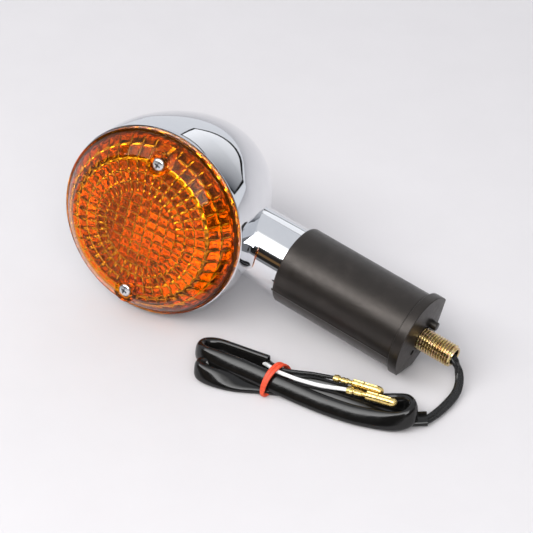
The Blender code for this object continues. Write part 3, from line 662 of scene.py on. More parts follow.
# The folded sleeve, in the same way.
SLEEVE_ROUTE = in_metres(
    (94.6, -28.0, 1.9, 90), (90.5, -31.0, 1.9, 88), (85.0, -34.7, 2.1, 78), (78.0, -38.4, 2.8, 58),
    (69.0, -40.6, 3.6, 44), (60.0, -41.8, 3.8, 40), (48.0, -42.8, 3.6, 44), (38.0, -44.2, 2.9, 58),
    (31.0, -46.5, 2.1, 72), (24.0, -49.8, 1.9, 80), (17.0, -53.4, 2.3, 66), (10.0, -56.2, 3.3, 46),
    (4.0, -57.5, 3.9, 32), (0.0, -57.2, 4.1, 16), (-1.6, -54.9, 4.1, 0), (0.6, -52.7, 3.6, -24),
    (7.0, -51.2, 2.3, -60), (14.0, -49.6, 1.9, -78), (21.0, -46.5, 1.9, -80), (28.0, -42.8, 2.3, -64),
    (36.0, -40.3, 3.3, -48), (46.0, -38.0, 3.9, -40), (57.0, -36.2, 3.9, -38), (68.0, -34.5, 4.0, -36),
    (75.0, -32.8, 4.5, -32), (81.5, -30.3, 5.8, -22), (86.5, -29.6, 7.2, -6), (90.5, -32.2, 7.4, 4),
    (90.5, -36.2, 6.0, 14), (87.0, -39.2, 4.7, 26), (81.0, -41.4, 4.0, 36), (70.6, -44.3, 3.8, 40),
    (62.0, -45.6, 3.8, 41), (53.4, -46.3, 3.8, 42), (45.0, -46.6, 3.9, 42), (37.0, -47.0, 4.5, 42),
    (30.0, -47.9, 5.6, 42), (22.0, -48.7, 6.6, 42), (13.0, -49.4, 7.2, 42), (4.0, -50.3, 7.4, 38),
    (-2.5, -50.4, 7.0, 26), (-6.8, -47.7, 6.0, 10), (-7.2, -43.2, 4.9, -3), (-3.0, -40.2, 4.4, -12),
    (4.0, -39.2, 4.2, -17), (13.0, -38.5, 4.2, -20), (21.5, -38.0, 4.4, -22),
)
# The two bare cores, and the start and end of the bullet terminal on each.
WHITE_ROUTE = in_metres(
    (17.5, -38.6, 4.3), (20.5, -38.9, 4.9), (23.0, -40.5, 6.4), (26.4, -43.0, 8.5),
    (31.4, -45.0, 9.8), (36.2, -45.1, 9.9), (42.8, -44.4, 9.7), (50.8, -42.9, 9.7),
    (56.5, -41.4, 10.0), (60.5, -40.3, 10.4), (62.9, -39.8, 10.6),
)
WHITE_TERMINAL = in_metres((63.2, -39.7, 10.6), (85.0, -35.8, 10.6))
BLACK_ROUTE = in_metres(
    (17.8, -37.1, 4.5), (20.7, -37.4, 5.1), (23.2, -38.7, 6.7), (26.5, -41.2, 8.6),
    (31.1, -43.0, 9.9), (35.1, -42.5, 9.9), (40.0, -40.4, 9.8), (45.0, -38.3, 9.9),
    (50.0, -37.1, 10.2), (54.0, -36.3, 10.6),
)
BLACK_TERMINAL = in_metres((54.3, -36.2, 10.6), (76.4, -32.7, 10.6))
# The elastic band: its place along the bundle, and the middle of its loop across the bundle.
BAND_PLACE = 31.0 * MM
BAND_MIDDLE = -45.0 * MM


def resampled(route, count):
    return spline([Vector(point) for point in route], count)


def twin_outline():
    """The flat cable's section: two cores side by side with a shallow groove between them."""
    reach = CABLE_WIDTH / 2 - CABLE_THICKNESS / 2
    right = [(reach + x, y) for x, y in arc(CABLE_THICKNESS / 2, -80, 80, 12)]
    left = [(-x, -y) for x, y in right]
    waist = CABLE_THICKNESS * 0.24
    return [*right, (0.0, waist), *left, (0.0, -waist)]


def make_sleeve_strip():
    frames = strip_frames(resampled(SLEEVE_ROUTE, 340))

    def crease(i):
        """The sleeve is a little uneven, and bulges where it is folded hard."""
        centre = frames[i][0]
        turn = frames[max(i - 4, 0)][3].angle(frames[min(i + 4, len(frames) - 1)][3])
        return 1.0 + 0.10 * noise.noise(centre * 140) + 0.22 * min(turn, 1.0)

    outer = oval(SLEEVE_WIDTH, SLEEVE_THICKNESS, 2.5)
    inner = oval(SLEEVE_WIDTH - 2 * SLEEVE_WALL, SLEEVE_THICKNESS - 2 * SLEEVE_WALL, 2.2)
    sleeve = strip("pvc_sleeve", frames, outer, BLACK_PVC, inner, crease)
    attach(sleeve, "mount", "sleeve_hank")
    return sleeve, [f[0] for f in frames]


def make_cable():
    frames = strip_frames(resampled(CABLE_ROUTE, 90))
    cable = strip("flat_cable", frames, twin_outline(), CABLE_PVC)
    attach(cable, "mount", "lead_cable")
    return cable, [f[0] for f in frames]


def make_tail(name, route, node, surface):
    curve = bpy.data.curves.new(name, "CURVE")
    curve.dimensions = "3D"
    curve.bevel_depth = TAIL_DIAMETER / 2
    curve.bevel_resolution = 5
    curve.use_fill_caps = True
    path = resampled(route, 80)
    line = curve.splines.new("POLY")
    line.points.add(len(path) - 1)
    for point, place in zip(line.points, path):
        point.co = (*place, 1.0)
    line.use_smooth = True
    curve.materials.append(surface)
    tail = bpy.data.objects.new(name, curve)
    bpy.context.scene.collection.objects.link(tail)
    attach(tail, "mount", node)
    return tail, length_of(path)


# A bullet terminal: where each stretch ends, in millimetres from the cable's end, and its radii.
CRIMP_END, WAIST_END, WIRE_CRIMP_END, NECK_END, FLARE_END = 2.6, 3.4, 6.6, 8.2, 8.7
GROOVE_START, GROOVE_END, NOSE_LENGTH = 13.4, 13.9, 3.0
BULLET_RADIUS = 1.95 * MM
NECK_INNER_RADIUS = 1.0 * MM
SLIT_HALF_ANGLE = 0.14


def bullet_radius(along, turn, length):
    """A bullet terminal's radius: insulation crimp, waist, wire crimp, neck, slit body and rounded nose."""
    crimp = 1.0 + 0.10 * math.cos(2 * turn)
    at = along / MM
    if at < CRIMP_END:
        return 1.55 * MM * crimp * (1.0 - 0.07 * math.cos(at * 2.4))
    if at < WAIST_END:
        return 1.05 * MM
    if at < WIRE_CRIMP_END:
        return 1.32 * MM * crimp * (1.0 - 0.05 * math.cos(at * 3.9))
    if at < NECK_END:
        return 1.02 * MM
    if at < FLARE_END:
        share = (at - NECK_END) / (FLARE_END - NECK_END)
        return NECK_INNER_RADIUS + (BULLET_RADIUS - NECK_INNER_RADIUS) * share
    if GROOVE_START < at < GROOVE_END:
        return BULLET_RADIUS * 0.93
    nose = length / MM - NOSE_LENGTH
    if at > nose:
        share = min(1.0, (at - nose) / NOSE_LENGTH)
        return BULLET_RADIUS * math.sqrt(max(0.0, 1.0 - share**2.6))
    slit = abs(math.remainder(turn - math.pi / 2, 2 * math.pi))
    return BULLET_RADIUS * (0.86 if slit < SLIT_HALF_ANGLE else 1.0)


def make_terminal(name, ends, node):
    start, end = (Vector(place) for place in ends)
    length = (end - start).length
    steps = 150
    rows = [[Vector((0, 0, 0))]]
    for i in range(steps):
        along = length * (i + 0.5) / steps
        rows.append([polar(bullet_radius(along, turn, length), turn, along) for turn in turns_of(48)])
    rows.append([Vector((0, 0, length))])
    turn = (end - start).to_track_quat("Z", "Y").to_matrix().to_4x4()
    terminal = piece(name, *grid(rows), BRASS, Matrix.Translation(start) @ turn, sharp=40)
    attach(terminal, "mount", node)
    return terminal


def make_elastic_band():
    """One elastic band wound twice round the bundle, its turns beside each other."""
    outline = in_metres(
        (-52.5, 1.2), (-52.8, 4.8), (-50.5, 8.6), (-47.0, 11.1), (-42.8, 11.6),
        (-40.0, 10.0), (-38.0, 6.6), (-37.8, 3.6), (-39.4, 1.0), (-45.0, 0.7),
    )
    turns = 2
    loop = []
    for lap in range(turns):
        for i, (y, z) in enumerate(outline):
            share = (lap + i / len(outline)) / turns
            shift = math.sin(share * 2 * math.pi)
            lean = (y - BAND_MIDDLE) * 0.16
            swell = 1.0 + 0.03 * math.sin(share * 14)
            across = BAND_MIDDLE + (y - BAND_MIDDLE) * swell
            loop.append(Vector((BAND_PLACE + lean + 1.0 * MM * shift, across, z)))
    path = closed_spline(loop, 220)
    rows = []
    for i, centre in enumerate(path):
        tangent = (path[(i + 1) % len(path)] - path[i - 1]).normalized()
        side = tangent.cross(Vector((1, 0, 0))).normalized()
        along = side.cross(tangent)
        rows.append([centre + along * a + side * b for a, b in oval(1.7 * MM, 1.15 * MM, 2.6, 16)])
    band = piece("elastic_band", *grid([*rows, rows[0]]), BAND_RUBBER, sharp=60)
    attach(band, "mount", "rubber_band")
    return band


def make_cords():
    sleeve, sleeve_path = make_sleeve_strip()
    cable, cable_path = make_cable()
    terminals = [
        make_terminal("white_bullet", WHITE_TERMINAL, "white_bullet_terminal"),
        make_terminal("black_bullet", BLACK_TERMINAL, "black_bullet_terminal"),
    ]
    tails = [
        make_tail("white_core", WHITE_ROUTE, "white_tail", WHITE_PVC),
        make_tail("black_core", BLACK_ROUTE, "black_tail", CABLE_PVC),
    ]
    band = make_elastic_band()


make_cords()


# ---------------- housing and stem tube


def shell_profile(growth, steps):
    """The housing's outline from its straight rim to its point, as (radius, depth), moved out by growth."""
    radius = SHELL_RADIUS + growth
    depth = SHELL_DEPTH + growth - SHELL_STRAIGHT
    points = []
    for i in range(steps + 1):
        turn = math.pi / 2 * (i / steps)
        side = radius * math.cos(turn) ** SHELL_SIDE_POWER if i < steps else 0.0
        points.append((side, SHELL_STRAIGHT + depth * math.sin(turn) ** SHELL_DEPTH_POWER))
    return points


def make_housing():
    recess = SHELL_RADIUS - SHELL_WALL
    rim = [
        (LEDGE_RADIUS, SHELL_STRAIGHT),
        (LEDGE_RADIUS, LEDGE_DEPTH),
        (recess, LEDGE_DEPTH),
        *near(recess, SHELL_RIM, (0, 0.3), (0.3, 0)),
        *near(SHELL_RADIUS, SHELL_RIM, (-0.35, 0), (-0.1, 0.12), (0, 0.4)),
    ]
    outer = shell_profile(0.0, 96)
    inner = shell_profile(-SHELL_WALL, 48)
    outline = [*reversed(outer), *reversed(rim), *inner[1:]]
    housing = lathe("chrome_housing", outline, CHROME, LENS, 256)
    cut(housing, lathe("opening", rod_outline(TUBE_BORE, 20 * MM, 60 * MM), CHROME, STEM, 96))
    attach(housing, "head", "housing")


def make_screw_posts():
    front, back = 2.5 * MM, 24 * MM
    outline = [(POST_RADIUS, front), (POST_RADIUS, back), (SCREW_CLEARANCE, back), (SCREW_CLEARANCE, front)]
    for number, side in ((1, -1), (2, 1)):
        post = lathe(f"screw_post_{number}", outline, CHROME, at_screw(side), 40)
        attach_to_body(post, "head")


def make_stem_tube():
    stop = TUBE_END - 2 * MM
    outline = [(TUBE_BORE, 20 * MM), (TUBE_RADIUS, 20 * MM), (TUBE_RADIUS, TUBE_END)]
    outline += [(4 * MM, TUBE_END), (4 * MM, stop), (TUBE_BORE, stop)]
    tube = lathe("chrome_stem", rounded(outline, 0.4 * MM), CHROME, STEM, 192)
    overlap = 0.2 * MM
    saddle = [(0.0, 0.0), (SHELL_RADIUS - overlap, 0.0), *shell_profile(-overlap, 64)]
    cut(tube, lathe("saddle", saddle, CHROME, LENS, 192))
    attach(tube, "head", "stem_tube")


# ---------------- lens


def crown(radius):
    """How far the face has dropped below its middle at a radius."""
    return (CROWN_HEIGHT - SHOULDER_HEIGHT) * (radius / SHOULDER_RADIUS) ** 2.2


def outer_outline():
    """The lens's outside as (radius, height) from the middle of its face to the seat."""
    face = []
    for i in range(17):
        radius = (SHOULDER_RADIUS - 0.9 * MM) * i / 16
        face.append((radius, CROWN_HEIGHT - crown(radius)))
    edge = near(SHOULDER_RADIUS, SHOULDER_HEIGHT, (-0.45, 0.01), (0, -0.18), (0.45, -0.62))
    top = edge[-1]
    foot = (LENS_RADIUS - 1.5 * MM, LENS_FLANGE + 0.75 * MM)
    side = []
    for i in range(1, 9):
        share = i / 8
        bow = 0.35 * MM * math.sin(math.pi * share)
        side.append((top[0] + (foot[0] - top[0]) * share + bow, top[1] + (foot[1] - top[1]) * share + bow))
    flange = [(-1.25, 0.42), (-1.0, 0.30), (-0.45, 0.22), (-0.15, 0.02), (0, -0.30)]
    seat = [(0, 0.4), (-0.2, 0)]
    return [*face, *edge, *side, *near(LENS_RADIUS, LENS_FLANGE, *flange), *near(LENS_RADIUS, 0.0, *seat)]


def pillow(u, v):
    """The height of a pillow at a place in its cell: nearly flat in the middle, and 0 in the grooves."""
    across = 2.0 * (u % 1.0) - 1.0
    along = 2.0 * (v % 1.0) - 1.0
    return (1.0 - across**4) * (1.0 - along**4)


def face_height(radius):
    """The height of the face's inside, without its pillows."""
    return CROWN_HEIGHT - LENS_WALL - crown(radius)


def field_rows(segments, rows):
    """The middle of the face: square pillows in straight rows, square to the line between the screws."""
    made = []
    for i in range(rows):
        radius = FIELD_RADIUS * i / rows
        row = []
        for turn in turns_of(segments if i else 1):
            x, y = radius * math.cos(turn), radius * math.sin(turn)
            bulge = PILLOW_HEIGHT * pillow(x / FIELD_WIDTH + 0.5, y / FIELD_LENGTH + 0.5)
            row.append(Vector((x, y, bulge - face_height(radius))))
        made.append(row)
    return made


def ring_rows(segments, face_end, rings):
    """The rest of the face: rings of pillows, one to each rib."""
    made = []
    for i in range(rings * CELL_STEPS + 1):
        share = i / CELL_STEPS
        radius = FIELD_RADIUS + (face_end - FIELD_RADIUS) * share / rings
        row = []
        for k, turn in enumerate(turns_of(segments)):
            bulge = PILLOW_HEIGHT * pillow(share, k / CELL_STEPS)
            row.append(polar(radius, turn, bulge - face_height(radius)))
        made.append(row)
    return made


def side_rows(segments, face_end, side_end, rings):
    """The sloping side: flutes in step with the ribs, crossed by grooves, fading out at the seat."""
    made = []
    top = face_height(face_end) - 0.7 * MM
    for i in range(1, rings * CELL_STEPS + 1):
        share = i / (rings * CELL_STEPS)
        row = []
        for k, turn in enumerate(turns_of(segments)):
            bulge = SIDE_BULGE * pillow(i / CELL_STEPS, k / CELL_STEPS) * min(1.0, 6 * (1 - share))
            radius = face_end + (side_end - face_end) * share - bulge
            row.append(polar(radius, turn, -max(top * (1 - share) - bulge, 0.0)))
        made.append(row)
    return made


def inner_rows(segments):
    """The lens's inside with its optics, as rows of points from the middle of the face to the seat."""
    face_end = SHOULDER_RADIUS - 2.4 * MM
    side_end = LENS_RADIUS - 4.0 * MM
    rings = round((face_end - FIELD_RADIUS) / RING_PITCH)
    rows = field_rows(segments, 84)
    rows += ring_rows(segments, face_end, rings)
    return rows + side_rows(segments, face_end, side_end, 2)


def make_lens():
    segments = RIBS * CELL_STEPS
    outside = [ring(radius, -height, segments) for radius, height in outer_outline()]
    rows = [*outside, *reversed(inner_rows(segments))]
    lens = piece("amber_lens", *grid(rows), AMBER, LENS)
    pillar_top = -SCREW_SEAT - 0.7 * MM
    pillar = [(0.0, pillar_top), (SCREW_PILLAR_RADIUS, pillar_top)]
    pillar += [(SCREW_PILLAR_RADIUS - 0.5 * MM, -0.2 * MM), (0.0, -0.2 * MM)]
    pocket = [
        (0.0, -20 * MM),
        (SCREW_POCKET_RADIUS + 0.5 * MM, -20 * MM),
        *near(SCREW_POCKET_RADIUS, -SCREW_SEAT, (0, -2.2), (-0.15, -0.3), (-0.5, 0)),
        (SCREW_CLEARANCE, -SCREW_SEAT),
        (SCREW_CLEARANCE, 5 * MM),
        (0.0, 5 * MM),
    ]
    for side in (-1, 1):
        cut(lens, lathe("pillar", pillar, AMBER, at_screw(side), 64), operation="UNION")
        cut(lens, lathe("pocket", pocket, AMBER, at_screw(side), 64))
    shade(lens, 28)
    attach(lens, "lens_cover", "lens")


# ---------------- screws

SHANK_PITCH = 1.2 * MM
SHANK_TURNS = 14
SHANK_LENGTH = 20 * MM


def shank_outline(start):
    """The thread's roots and crests from start on."""
    points = []
    for i in range(SHANK_TURNS):
        points += [(1.12 * MM, start + SHANK_PITCH * i), (1.45 * MM, start + SHANK_PITCH * (i + 0.5))]
    return points


def make_blade():
    """One bar of the cross recess, as a wedge that narrows into the head."""
    bm = bmesh.new()
    bmesh.ops.create_cube(bm, size=1.0)
    for vert in bm.verts:
        narrow = 0.62 if vert.co.z > 0 else 1.0
        vert.co = Vector((vert.co.x * 3.5 * narrow, vert.co.y * 0.78, vert.co.z * 2.2)) * MM
    return piece_of("blade", bm, ZINC)


def make_screw(name, side, node):
    """A pan-head screw with a cross recess and a threaded shank."""
    seat = -SCREW_SEAT
    head = [(0, -1.90), (1.2, -1.86), (2.1, -1.66), (2.7, -1.25), (2.97, -0.75)]
    head += [(3.0, -0.35), (2.9, 0), (1.2, 0)]
    start = seat + 3.0 * MM
    point = seat + SHANK_LENGTH
    outline = [*near(0.0, seat, *head), (1.2 * MM, start - 0.4 * MM), *shank_outline(start)]
    outline += [(0.5 * MM, point), (0.0, point + 0.4 * MM)]
    screw = lathe(name, outline, ZINC, at_screw(side), 48)
    for turn in (0.25, 0.25 + math.pi / 2):
        blade = make_blade()
        place = Matrix.Translation((0, 0, seat - 1.9 * MM)) @ Matrix.Rotation(turn, 4, "Z")
        blade.data.transform(at_screw(side) @ place)
        cut(screw, blade)
    attach(screw, name, node)


# ---------------- reflector and bulb


def make_reflector():
    flange_back = LEDGE_DEPTH - 0.3 * MM
    neck_end = REFLECTOR_BACK + 4 * MM
    bowl = []
    for i in range(25):
        share = i / 24
        radius = REFLECTOR_RADIUS - (REFLECTOR_RADIUS - NECK_RADIUS) * share
        bowl.append((radius, 4.0 * MM + 28.0 * MM * share**0.7))
    outside = [(radius + REFLECTOR_WALL, depth + REFLECTOR_WALL) for radius, depth in bowl]
    outline = [
        REFLECTOR_FLANGE,
        (REFLECTOR_RADIUS + 0.4 * MM, REFLECTOR_FLANGE[1]),
        *bowl,
        (NECK_RADIUS, neck_end),
        (NECK_RADIUS + REFLECTOR_WALL, neck_end),
        *reversed(outside),
        (REFLECTOR_RADIUS + 1.9 * MM, flange_back),
        (REFLECTOR_FLANGE[0], flange_back),
    ]
    reflector = lathe("reflector_bowl", outline, MIRROR, LENS, 144)
    for side in (-1, 1):
        cut(reflector, lathe("notch", rod_outline(5.4 * MM, 0.0, 50 * MM), MIRROR, at_screw(side), 48))
    attach(reflector, "head", "reflector")


def make_globe():
    """The bulb's glass: a hollow ball that runs into a straight neck."""
    wall = 0.7 * MM
    neck = 5.0 * MM
    neck_back = CAP_FRONT + 6 * MM
    start = math.degrees(math.asin(neck / GLOBE_RADIUS))
    outside = [(y, GLOBE_DEPTH - x) for x, y in arc(GLOBE_RADIUS, 0, 180 - start, 32)]
    inside = [(y, GLOBE_DEPTH - x) for x, y in arc(GLOBE_RADIUS - wall, 180 - start - 4, 0, 32)]
    outline = [(0.0, outside[0][1]), *outside[1:], (neck, neck_back), (neck - wall, neck_back)]
    outline += [*inside[:-1], (0.0, inside[-1][1])]
    globe = lathe("bulb_globe", outline, GLASS, LENS, 64)
    attach(globe, "bulb", "bulb_glass")


def make_cap():
    """The bayonet cap with its two pins."""
    front = [(5.6 * MM, CAP_FRONT), (CAP_RADIUS, CAP_FRONT), (CAP_RADIUS, CAP_BACK - 1.5 * MM)]
    back = near(0.0, CAP_BACK, (5.0, 0), (2.6, 0), (2.6, -1.2), (5.6, -2.0))
    cap = lathe("bayonet_cap", rounded([*front, *back], 0.4 * MM), BRASS, LENS, 64)
    pin = rounded(rod_outline(1.0 * MM, 6.6 * MM, 8.6 * MM), 0.25 * MM)
    for side in (-1, 1):
        turn = Matrix.Translation((0, 0, 42.5 * MM)) @ Matrix.Rotation(side * math.pi / 2, 4, "X")
        cut(cap, lathe("pin", pin, BRASS, LENS @ turn, 24), operation="UNION")
    attach(cap, "bulb", "bulb_cap")


# ---------------- rubber stem, base plate and stud


def sleeve_outline():
    """The moulded sleeve's section as (radius, height), from its front edge by its back to its bore."""
    bore = TUBE_RADIUS + 0.15 * MM
    corner = 0.45 * MM
    steps = 64
    straight = SLEEVE_END - SLEEVE_START - 2 * corner
    outer = [(bore, SLEEVE_START + 0.25 * MM), (bore + 0.25 * MM, SLEEVE_START)]
    outer += near(SLEEVE_RADIUS, SLEEVE_START, (-0.45, 0), (-0.15, 0.12), (0, 0.45))
    outer += [(SLEEVE_RADIUS, SLEEVE_START + corner + straight * i / steps) for i in range(1, steps)]
    outer += near(SLEEVE_RADIUS, SLEEVE_END, (0, -0.45), (-0.2, -0.1), (-0.6, 0))
    pocket_radius = STUD_HEAD_RADIUS + 0.3 * MM
    pocket_floor = SLEEVE_END - 4.2 * MM
    return [
        *outer,
        (pocket_radius, SLEEVE_END),
        (pocket_radius, pocket_floor),
        (SLEEVE_BORE, pocket_floor),
        (SLEEVE_BORE, SLEEVE_BORE_START),
        (bore, SLEEVE_BORE_START),
    ]


def sleeve_swell(radius, turn, height):
    """What the parting line and the moulding's unevenness add to the outer radius."""
    swell = 0.0
    if radius > SLEEVE_RADIUS - 0.3 * MM:
        for line in PARTING_ANGLES:
            away = abs(math.remainder(turn - line, 2 * math.pi)) * radius
            swell += 0.16 * MM * math.exp(-((away / (0.26 * MM)) ** 2))
        swell += 0.05 * MM * noise.noise(Vector((math.cos(turn) * 3, math.sin(turn) * 3, height * 90)))
    return swell


def make_rubber_sleeve():
    """The moulded sleeve, with a fine parting line and two nibs of flash at its front edge."""
    outline = sleeve_outline()
    turns = turns_of(360)
    rows = []
    for radius, height in [*outline, outline[0]]:
        rows.append([polar(radius + sleeve_swell(radius, turn, height), turn, height) for turn in turns])
    sleeve = piece("rubber_stem", *grid(rows), RUBBER, STEM)
    for turn in (PARTING_ANGLES[0], math.radians(-118)):
        bm = bmesh.new()
        bmesh.ops.create_icosphere(bm, subdivisions=2, radius=0.5 * MM)
        nib = piece_of("nib", bm, RUBBER)
        spot = Vector((math.cos(turn), math.sin(turn), 0)) * (SLEEVE_RADIUS - 0.25 * MM)
        spot.z = SLEEVE_START - 0.05 * MM
        nib.data.transform(STEM @ Matrix.Translation(spot) @ Matrix.Diagonal((1.0, 1.0, 1.3, 1.0)))
        cut(sleeve, nib, operation="UNION")
    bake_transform(sleeve)
    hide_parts("rubber_sleeve")


def extruded(name, outline, start, end, surface, matrix):
    """A prism between two heights, its edges bevelled."""
    bm = bmesh.new()
    face = bm.faces.new([bm.verts.new((x, y, start)) for x, y in outline])
    lifted = bmesh.ops.extrude_face_region(bm, geom=[face])["geom"]
    verts = [part for part in lifted if isinstance(part, bmesh.types.BMVert)]
    bmesh.ops.translate(bm, vec=(0, 0, end - start), verts=verts)
    rim = [edge for edge in bm.edges if abs(edge.verts[0].co.z - edge.verts[1].co.z) < 1e-9]
    bmesh.ops.bevel(bm, geom=rim, offset=0.35 * MM, segments=4, profile=0.5, affect="EDGES")
    return piece_of(name, bm, surface, matrix)


def on_peg_circle(angle):
    turn = math.radians(angle)
    return STEM @ Matrix.Translation((PEG_CIRCLE * math.cos(turn), PEG_CIRCLE * math.sin(turn), 0))


def make_base_plate():
    """The plate: round at the top and front, flat below and behind, with a peg, a dent and a hole."""
    bottom = -math.degrees(math.acos(BOTTOM_FLAT / PLATE_RADIUS))
    back = 180 - math.degrees(math.asin(BACK_FLAT / PLATE_RADIUS))
    outline = arc(PLATE_RADIUS, bottom, back - 360, 110)
    outline += [(2.0 * MM, BACK_FLAT), (BOTTOM_FLAT, -0.5 * MM)]
    plate = extruded("mounting_plate", outline, PLATE_START, PLATE_END, RUBBER, STEM)
    hole = rod_outline(STUD_RADIUS + 0.3 * MM, SLEEVE_END, STUD_END)
    dent = rod_outline(DENT_RADIUS, PLATE_END - 2.5 * MM, STUD_END)
    cut(plate, lathe("hole", hole, RUBBER, STEM, 64))
    cut(plate, lathe("dent", dent, RUBBER, on_peg_circle(DENT_ANGLE), 32))
    peg = [(0.0, PLATE_END - 2 * MM), (PEG_RADIUS, PLATE_END - 2 * MM)]
    peg += near(PEG_RADIUS, PLATE_END + 3 * MM, (0, -0.5), (-0.15, -0.15), (-0.5, 0))
    peg.append((0.0, PLATE_END + 3 * MM))
    cut(plate, lathe("peg", peg, RUBBER, on_peg_circle(PEG_ANGLE), 40), operation="UNION")
    attach(plate, "mount", "base_plate")


def thread_radius(height, turn):
    """The stud's thread: a trapezoid wave along a helix, run out at both ends."""
    phase = (height / THREAD_PITCH - turn / (2 * math.pi)) % 1.0
    tooth = min(1.0, max(0.0, (abs(phase - 0.5) - 0.07) / 0.34))
    depth = 0.68 * MM
    lead_in = min(1.0, max(0.0, (height - PLATE_START - 0.6 * MM) / (1.0 * MM)))
    chamfer = max(0.0, height - (STUD_END - 1.0 * MM)) * 0.9
    return max(STUD_RADIUS - depth * tooth * lead_in - chamfer * (1 - 0.6 * tooth), STUD_BORE + 0.45 * MM)


def make_stud():
    head_front = SLEEVE_END - 3.9 * MM
    head_back = SLEEVE_END - 0.4 * MM
    segments = 96
    head = [(STUD_BORE, head_front), (STUD_HEAD_RADIUS, head_front), (STUD_HEAD_RADIUS, head_back)]
    rows = [ring(radius, height, segments) for radius, height in (*head, (STUD_RADIUS, head_back))]
    steps = int((STUD_END - head_back) / THREAD_PITCH * 14)
    for i in range(1, steps + 1):
        height = head_back + (STUD_END - head_back) * i / steps
        rows.append([polar(thread_radius(height, turn), turn, height) for turn in turns_of(segments)])
    rows.append(ring(STUD_BORE + 0.3 * MM, STUD_END, segments))
    rows.append(ring(STUD_BORE, STUD_END - 0.3 * MM, segments))
    rows.append(rows[0])
    stud = piece("hollow_stud", *grid(rows), YELLOW_ZINC, STEM, sharp=30)
    attach(stud, "mount", "threaded_stud")


def make_inner_cable():
    """The flat cable's stretch inside the rubber stem and the stud, up to where the free stretch starts."""
    start = STEM @ Vector((0, 0, FLEX_CENTRE + 2.5 * MM))
    end = Vector(CABLE_ROUTE[0][:3]) - Vector((0.05 * MM, 0, 0))
    middle = STEM @ Vector((0.2 * MM, 0, STUD_END - 9 * MM))
    stations = [(*point, 88) for point in spline([start, middle, end], 30)]
    cable = strip("inner_cable", strip_frames(stations), twin_outline(), CABLE_PVC)
    attach(cable, "mount", "stud_cable")


def finish_kept_nodes():
    """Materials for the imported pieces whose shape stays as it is."""
    surfaces = {
        "lens_gasket": RUBBER,
        "bulb_filament": WIRE,
        "bulb_contact": SOLDER,
        "socket_shell": ZINC,
        "socket_insulator": PHENOLIC,
        "contact_plunger": BRASS,
        "contact_spring": WIRE,
        "earth_tag": BRASS,
        "live_lead": WHITE_PVC,
        "earth_lead": CABLE_PVC,
    }
    for name, surface in surfaces.items():
        node = frame["nodes"][name]
        node.data.materials.clear()
        node.data.materials.append(surface)


make_housing()
make_screw_posts()
make_stem_tube()
make_lens()
make_screw("upper_screw", -1, "lens_screw_upper")
make_screw("lower_screw", 1, "lens_screw_lower")
make_reflector()
make_globe()
make_cap()
make_rubber_sleeve()
make_base_plate()
make_stud()
make_inner_cable()
finish_kept_nodes()


# ---------------- floor and light

# The place that most cards face, and the cards' colours.
LAMP = Vector((0, 0, 0.03))
WHITE = (1.0, 1.0, 1.0)
FAINT = (0.12, 0.12, 0.12)
DARK = (0.03, 0.028, 0.026)
PALE = (0.93, 0.95, 1.0)
BLACK = (0.0, 0.0, 0.0)


def make_floor():
    floor = Finish("studio_floor", (0.63, 0.615, 0.624), 0.6, Specular_IOR_Level=0.2)
    paper = floor.noise(30 * MM, 3.0)
    floor.colours(paper, (0.3, (0.626, 0.608, 0.619)), (0.7, (0.638, 0.620, 0.631)))
    bm = bmesh.new()
    bmesh.ops.create_grid(bm, x_segments=8, y_segments=8, size=2.5)
    plane = piece_of("floor", bm, floor.material)
    plane.location.z = -0.02 * MM


def card(name, outline, place, target, glow, low, high=None, upward=False):
    """A studio card or softbox that faces target, of one colour or running to high across it or upward.

    Only reflections and the light show it, because the camera's rays pass through it.
    """
    paper = Finish(name, BLACK, 1.0, Emission_Strength=glow)
    split = paper.node("SeparateXYZ", Vector=paper.place)
    widest = max(abs(point[int(upward)]) for point in outline)
    across = paper.span(split.outputs["Y" if upward else "X"], 0.0, 1.0, -widest, widest)
    paper.feed(paper.shader, Emission_Color=paper.ramp(across, (0.0, low), (1.0, high or low)))
    bm = bmesh.new()
    bm.faces.new([bm.verts.new((x, y, 0)) for x, y in outline])
    sheet = piece_of(name, bm, paper.material)
    sheet.location = place
    sheet.rotation_mode = "QUATERNION"
    sheet.rotation_quaternion = (Vector(target) - Vector(place)).to_track_quat("Z", "Y")
    sheet.visible_camera = False


def oblong(width, height):
    return [(width / 2 * x, height / 2 * y) for x, y in ((-1, -1), (1, -1), (1, 1), (-1, 1))]


def around(azimuth, elevation, distance):
    """A place seen from the lamp at an azimuth from +X and an elevation, in degrees."""
    azimuth, elevation = math.radians(azimuth), math.radians(elevation)
    flat = math.cos(elevation) * distance
    return Vector((flat * math.cos(azimuth), flat * math.sin(azimuth), math.sin(elevation) * distance))


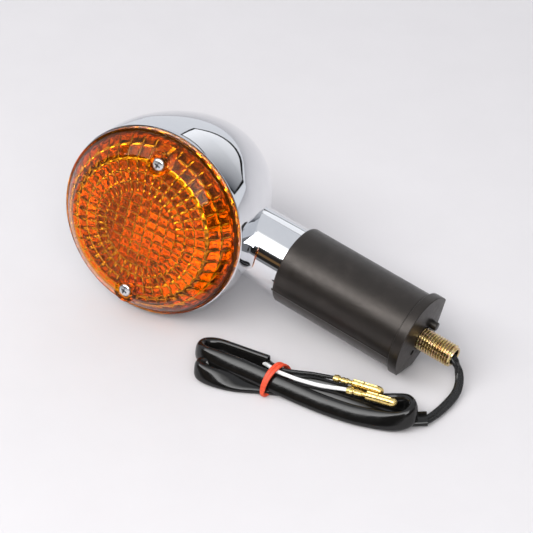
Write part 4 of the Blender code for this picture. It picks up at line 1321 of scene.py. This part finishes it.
def make_world():
    world = bpy.data.worlds.new("studio")
    bpy.context.scene.world = world
    world.use_nodes = True
    background = world.node_tree.nodes["Background"]
    background.inputs["Color"].default_value = (0.96, 0.97, 1.0, 1.0)
    background.inputs["Strength"].default_value = 0.25


def make_softboxes():
    """Two softboxes, brightest along their lower edges, and a dark flag beside them."""
    front, right, beside = around(-94, 58, 1.3), around(-50, 46, 1.25), around(-14, 11, 1.25)
    card("front_softbox", oblong(2.0, 0.84), front, LAMP, 8.0, WHITE, FAINT, True)
    card("right_softbox", oblong(0.62, 0.86), right, LAMP, 9.0, WHITE, FAINT, True)
    card("right_flag", oblong(1.0, 0.46), beside, LAMP, 1.0, DARK)


def make_screens():
    """Pale cards above, behind and to the left, and a bright wall with a round corner and a black edge."""
    card("ceiling", oblong(5.0, 2.3), (0.0, 0.60, 1.34), (0.0, 0.60, 0.0), 0.78, PALE)
    corner = [(x + 0.05, y) for x, y in arc(0.55, 180, 270, 10)]
    wall = [*corner, (0.50, -0.50), (1.10, -0.30), (1.10, 0.55), (-0.50, 0.55)]
    rim = [(x * 1.09, y * 1.09) for x, y in wall]
    back = Vector((0.0, 1.35, 0.64))
    ahead = Vector((0.0, 0.0, 0.64))
    card("back_wall", wall, back, ahead, 1.0, (1.55, 1.56, 1.60), (0.09, 0.095, 0.11))
    card("back_screen", oblong(5.0, 1.6), (0.0, 1.60, 0.58), (0.0, 0.0, 0.58), 0.84, PALE)
    card("left_screen", oblong(3.2, 1.6), (-1.7, 0.2, 0.58), (0.0, 0.2, 0.58), 0.84, PALE)
    card("back_wall_edge", rim, back + Vector((0, 0.01, 0)), ahead, 0.0, BLACK)


def make_front():
    """The dark wall on the camera's side, with a narrow brown band in front of it."""
    card("front_wall", oblong(3.0, 0.80), around(-105, 22, 1.6), LAMP, 1.0, (0.012, 0.010, 0.008))
    card("front_shelf", oblong(2.6, 0.20), around(-110, 21, 1.57), LAMP, 1.0, (0.16, 0.09, 0.035))


make_floor()
make_world()
make_softboxes()
make_screens()
make_front()
bpy.context.scene.view_settings.view_transform = "Standard"
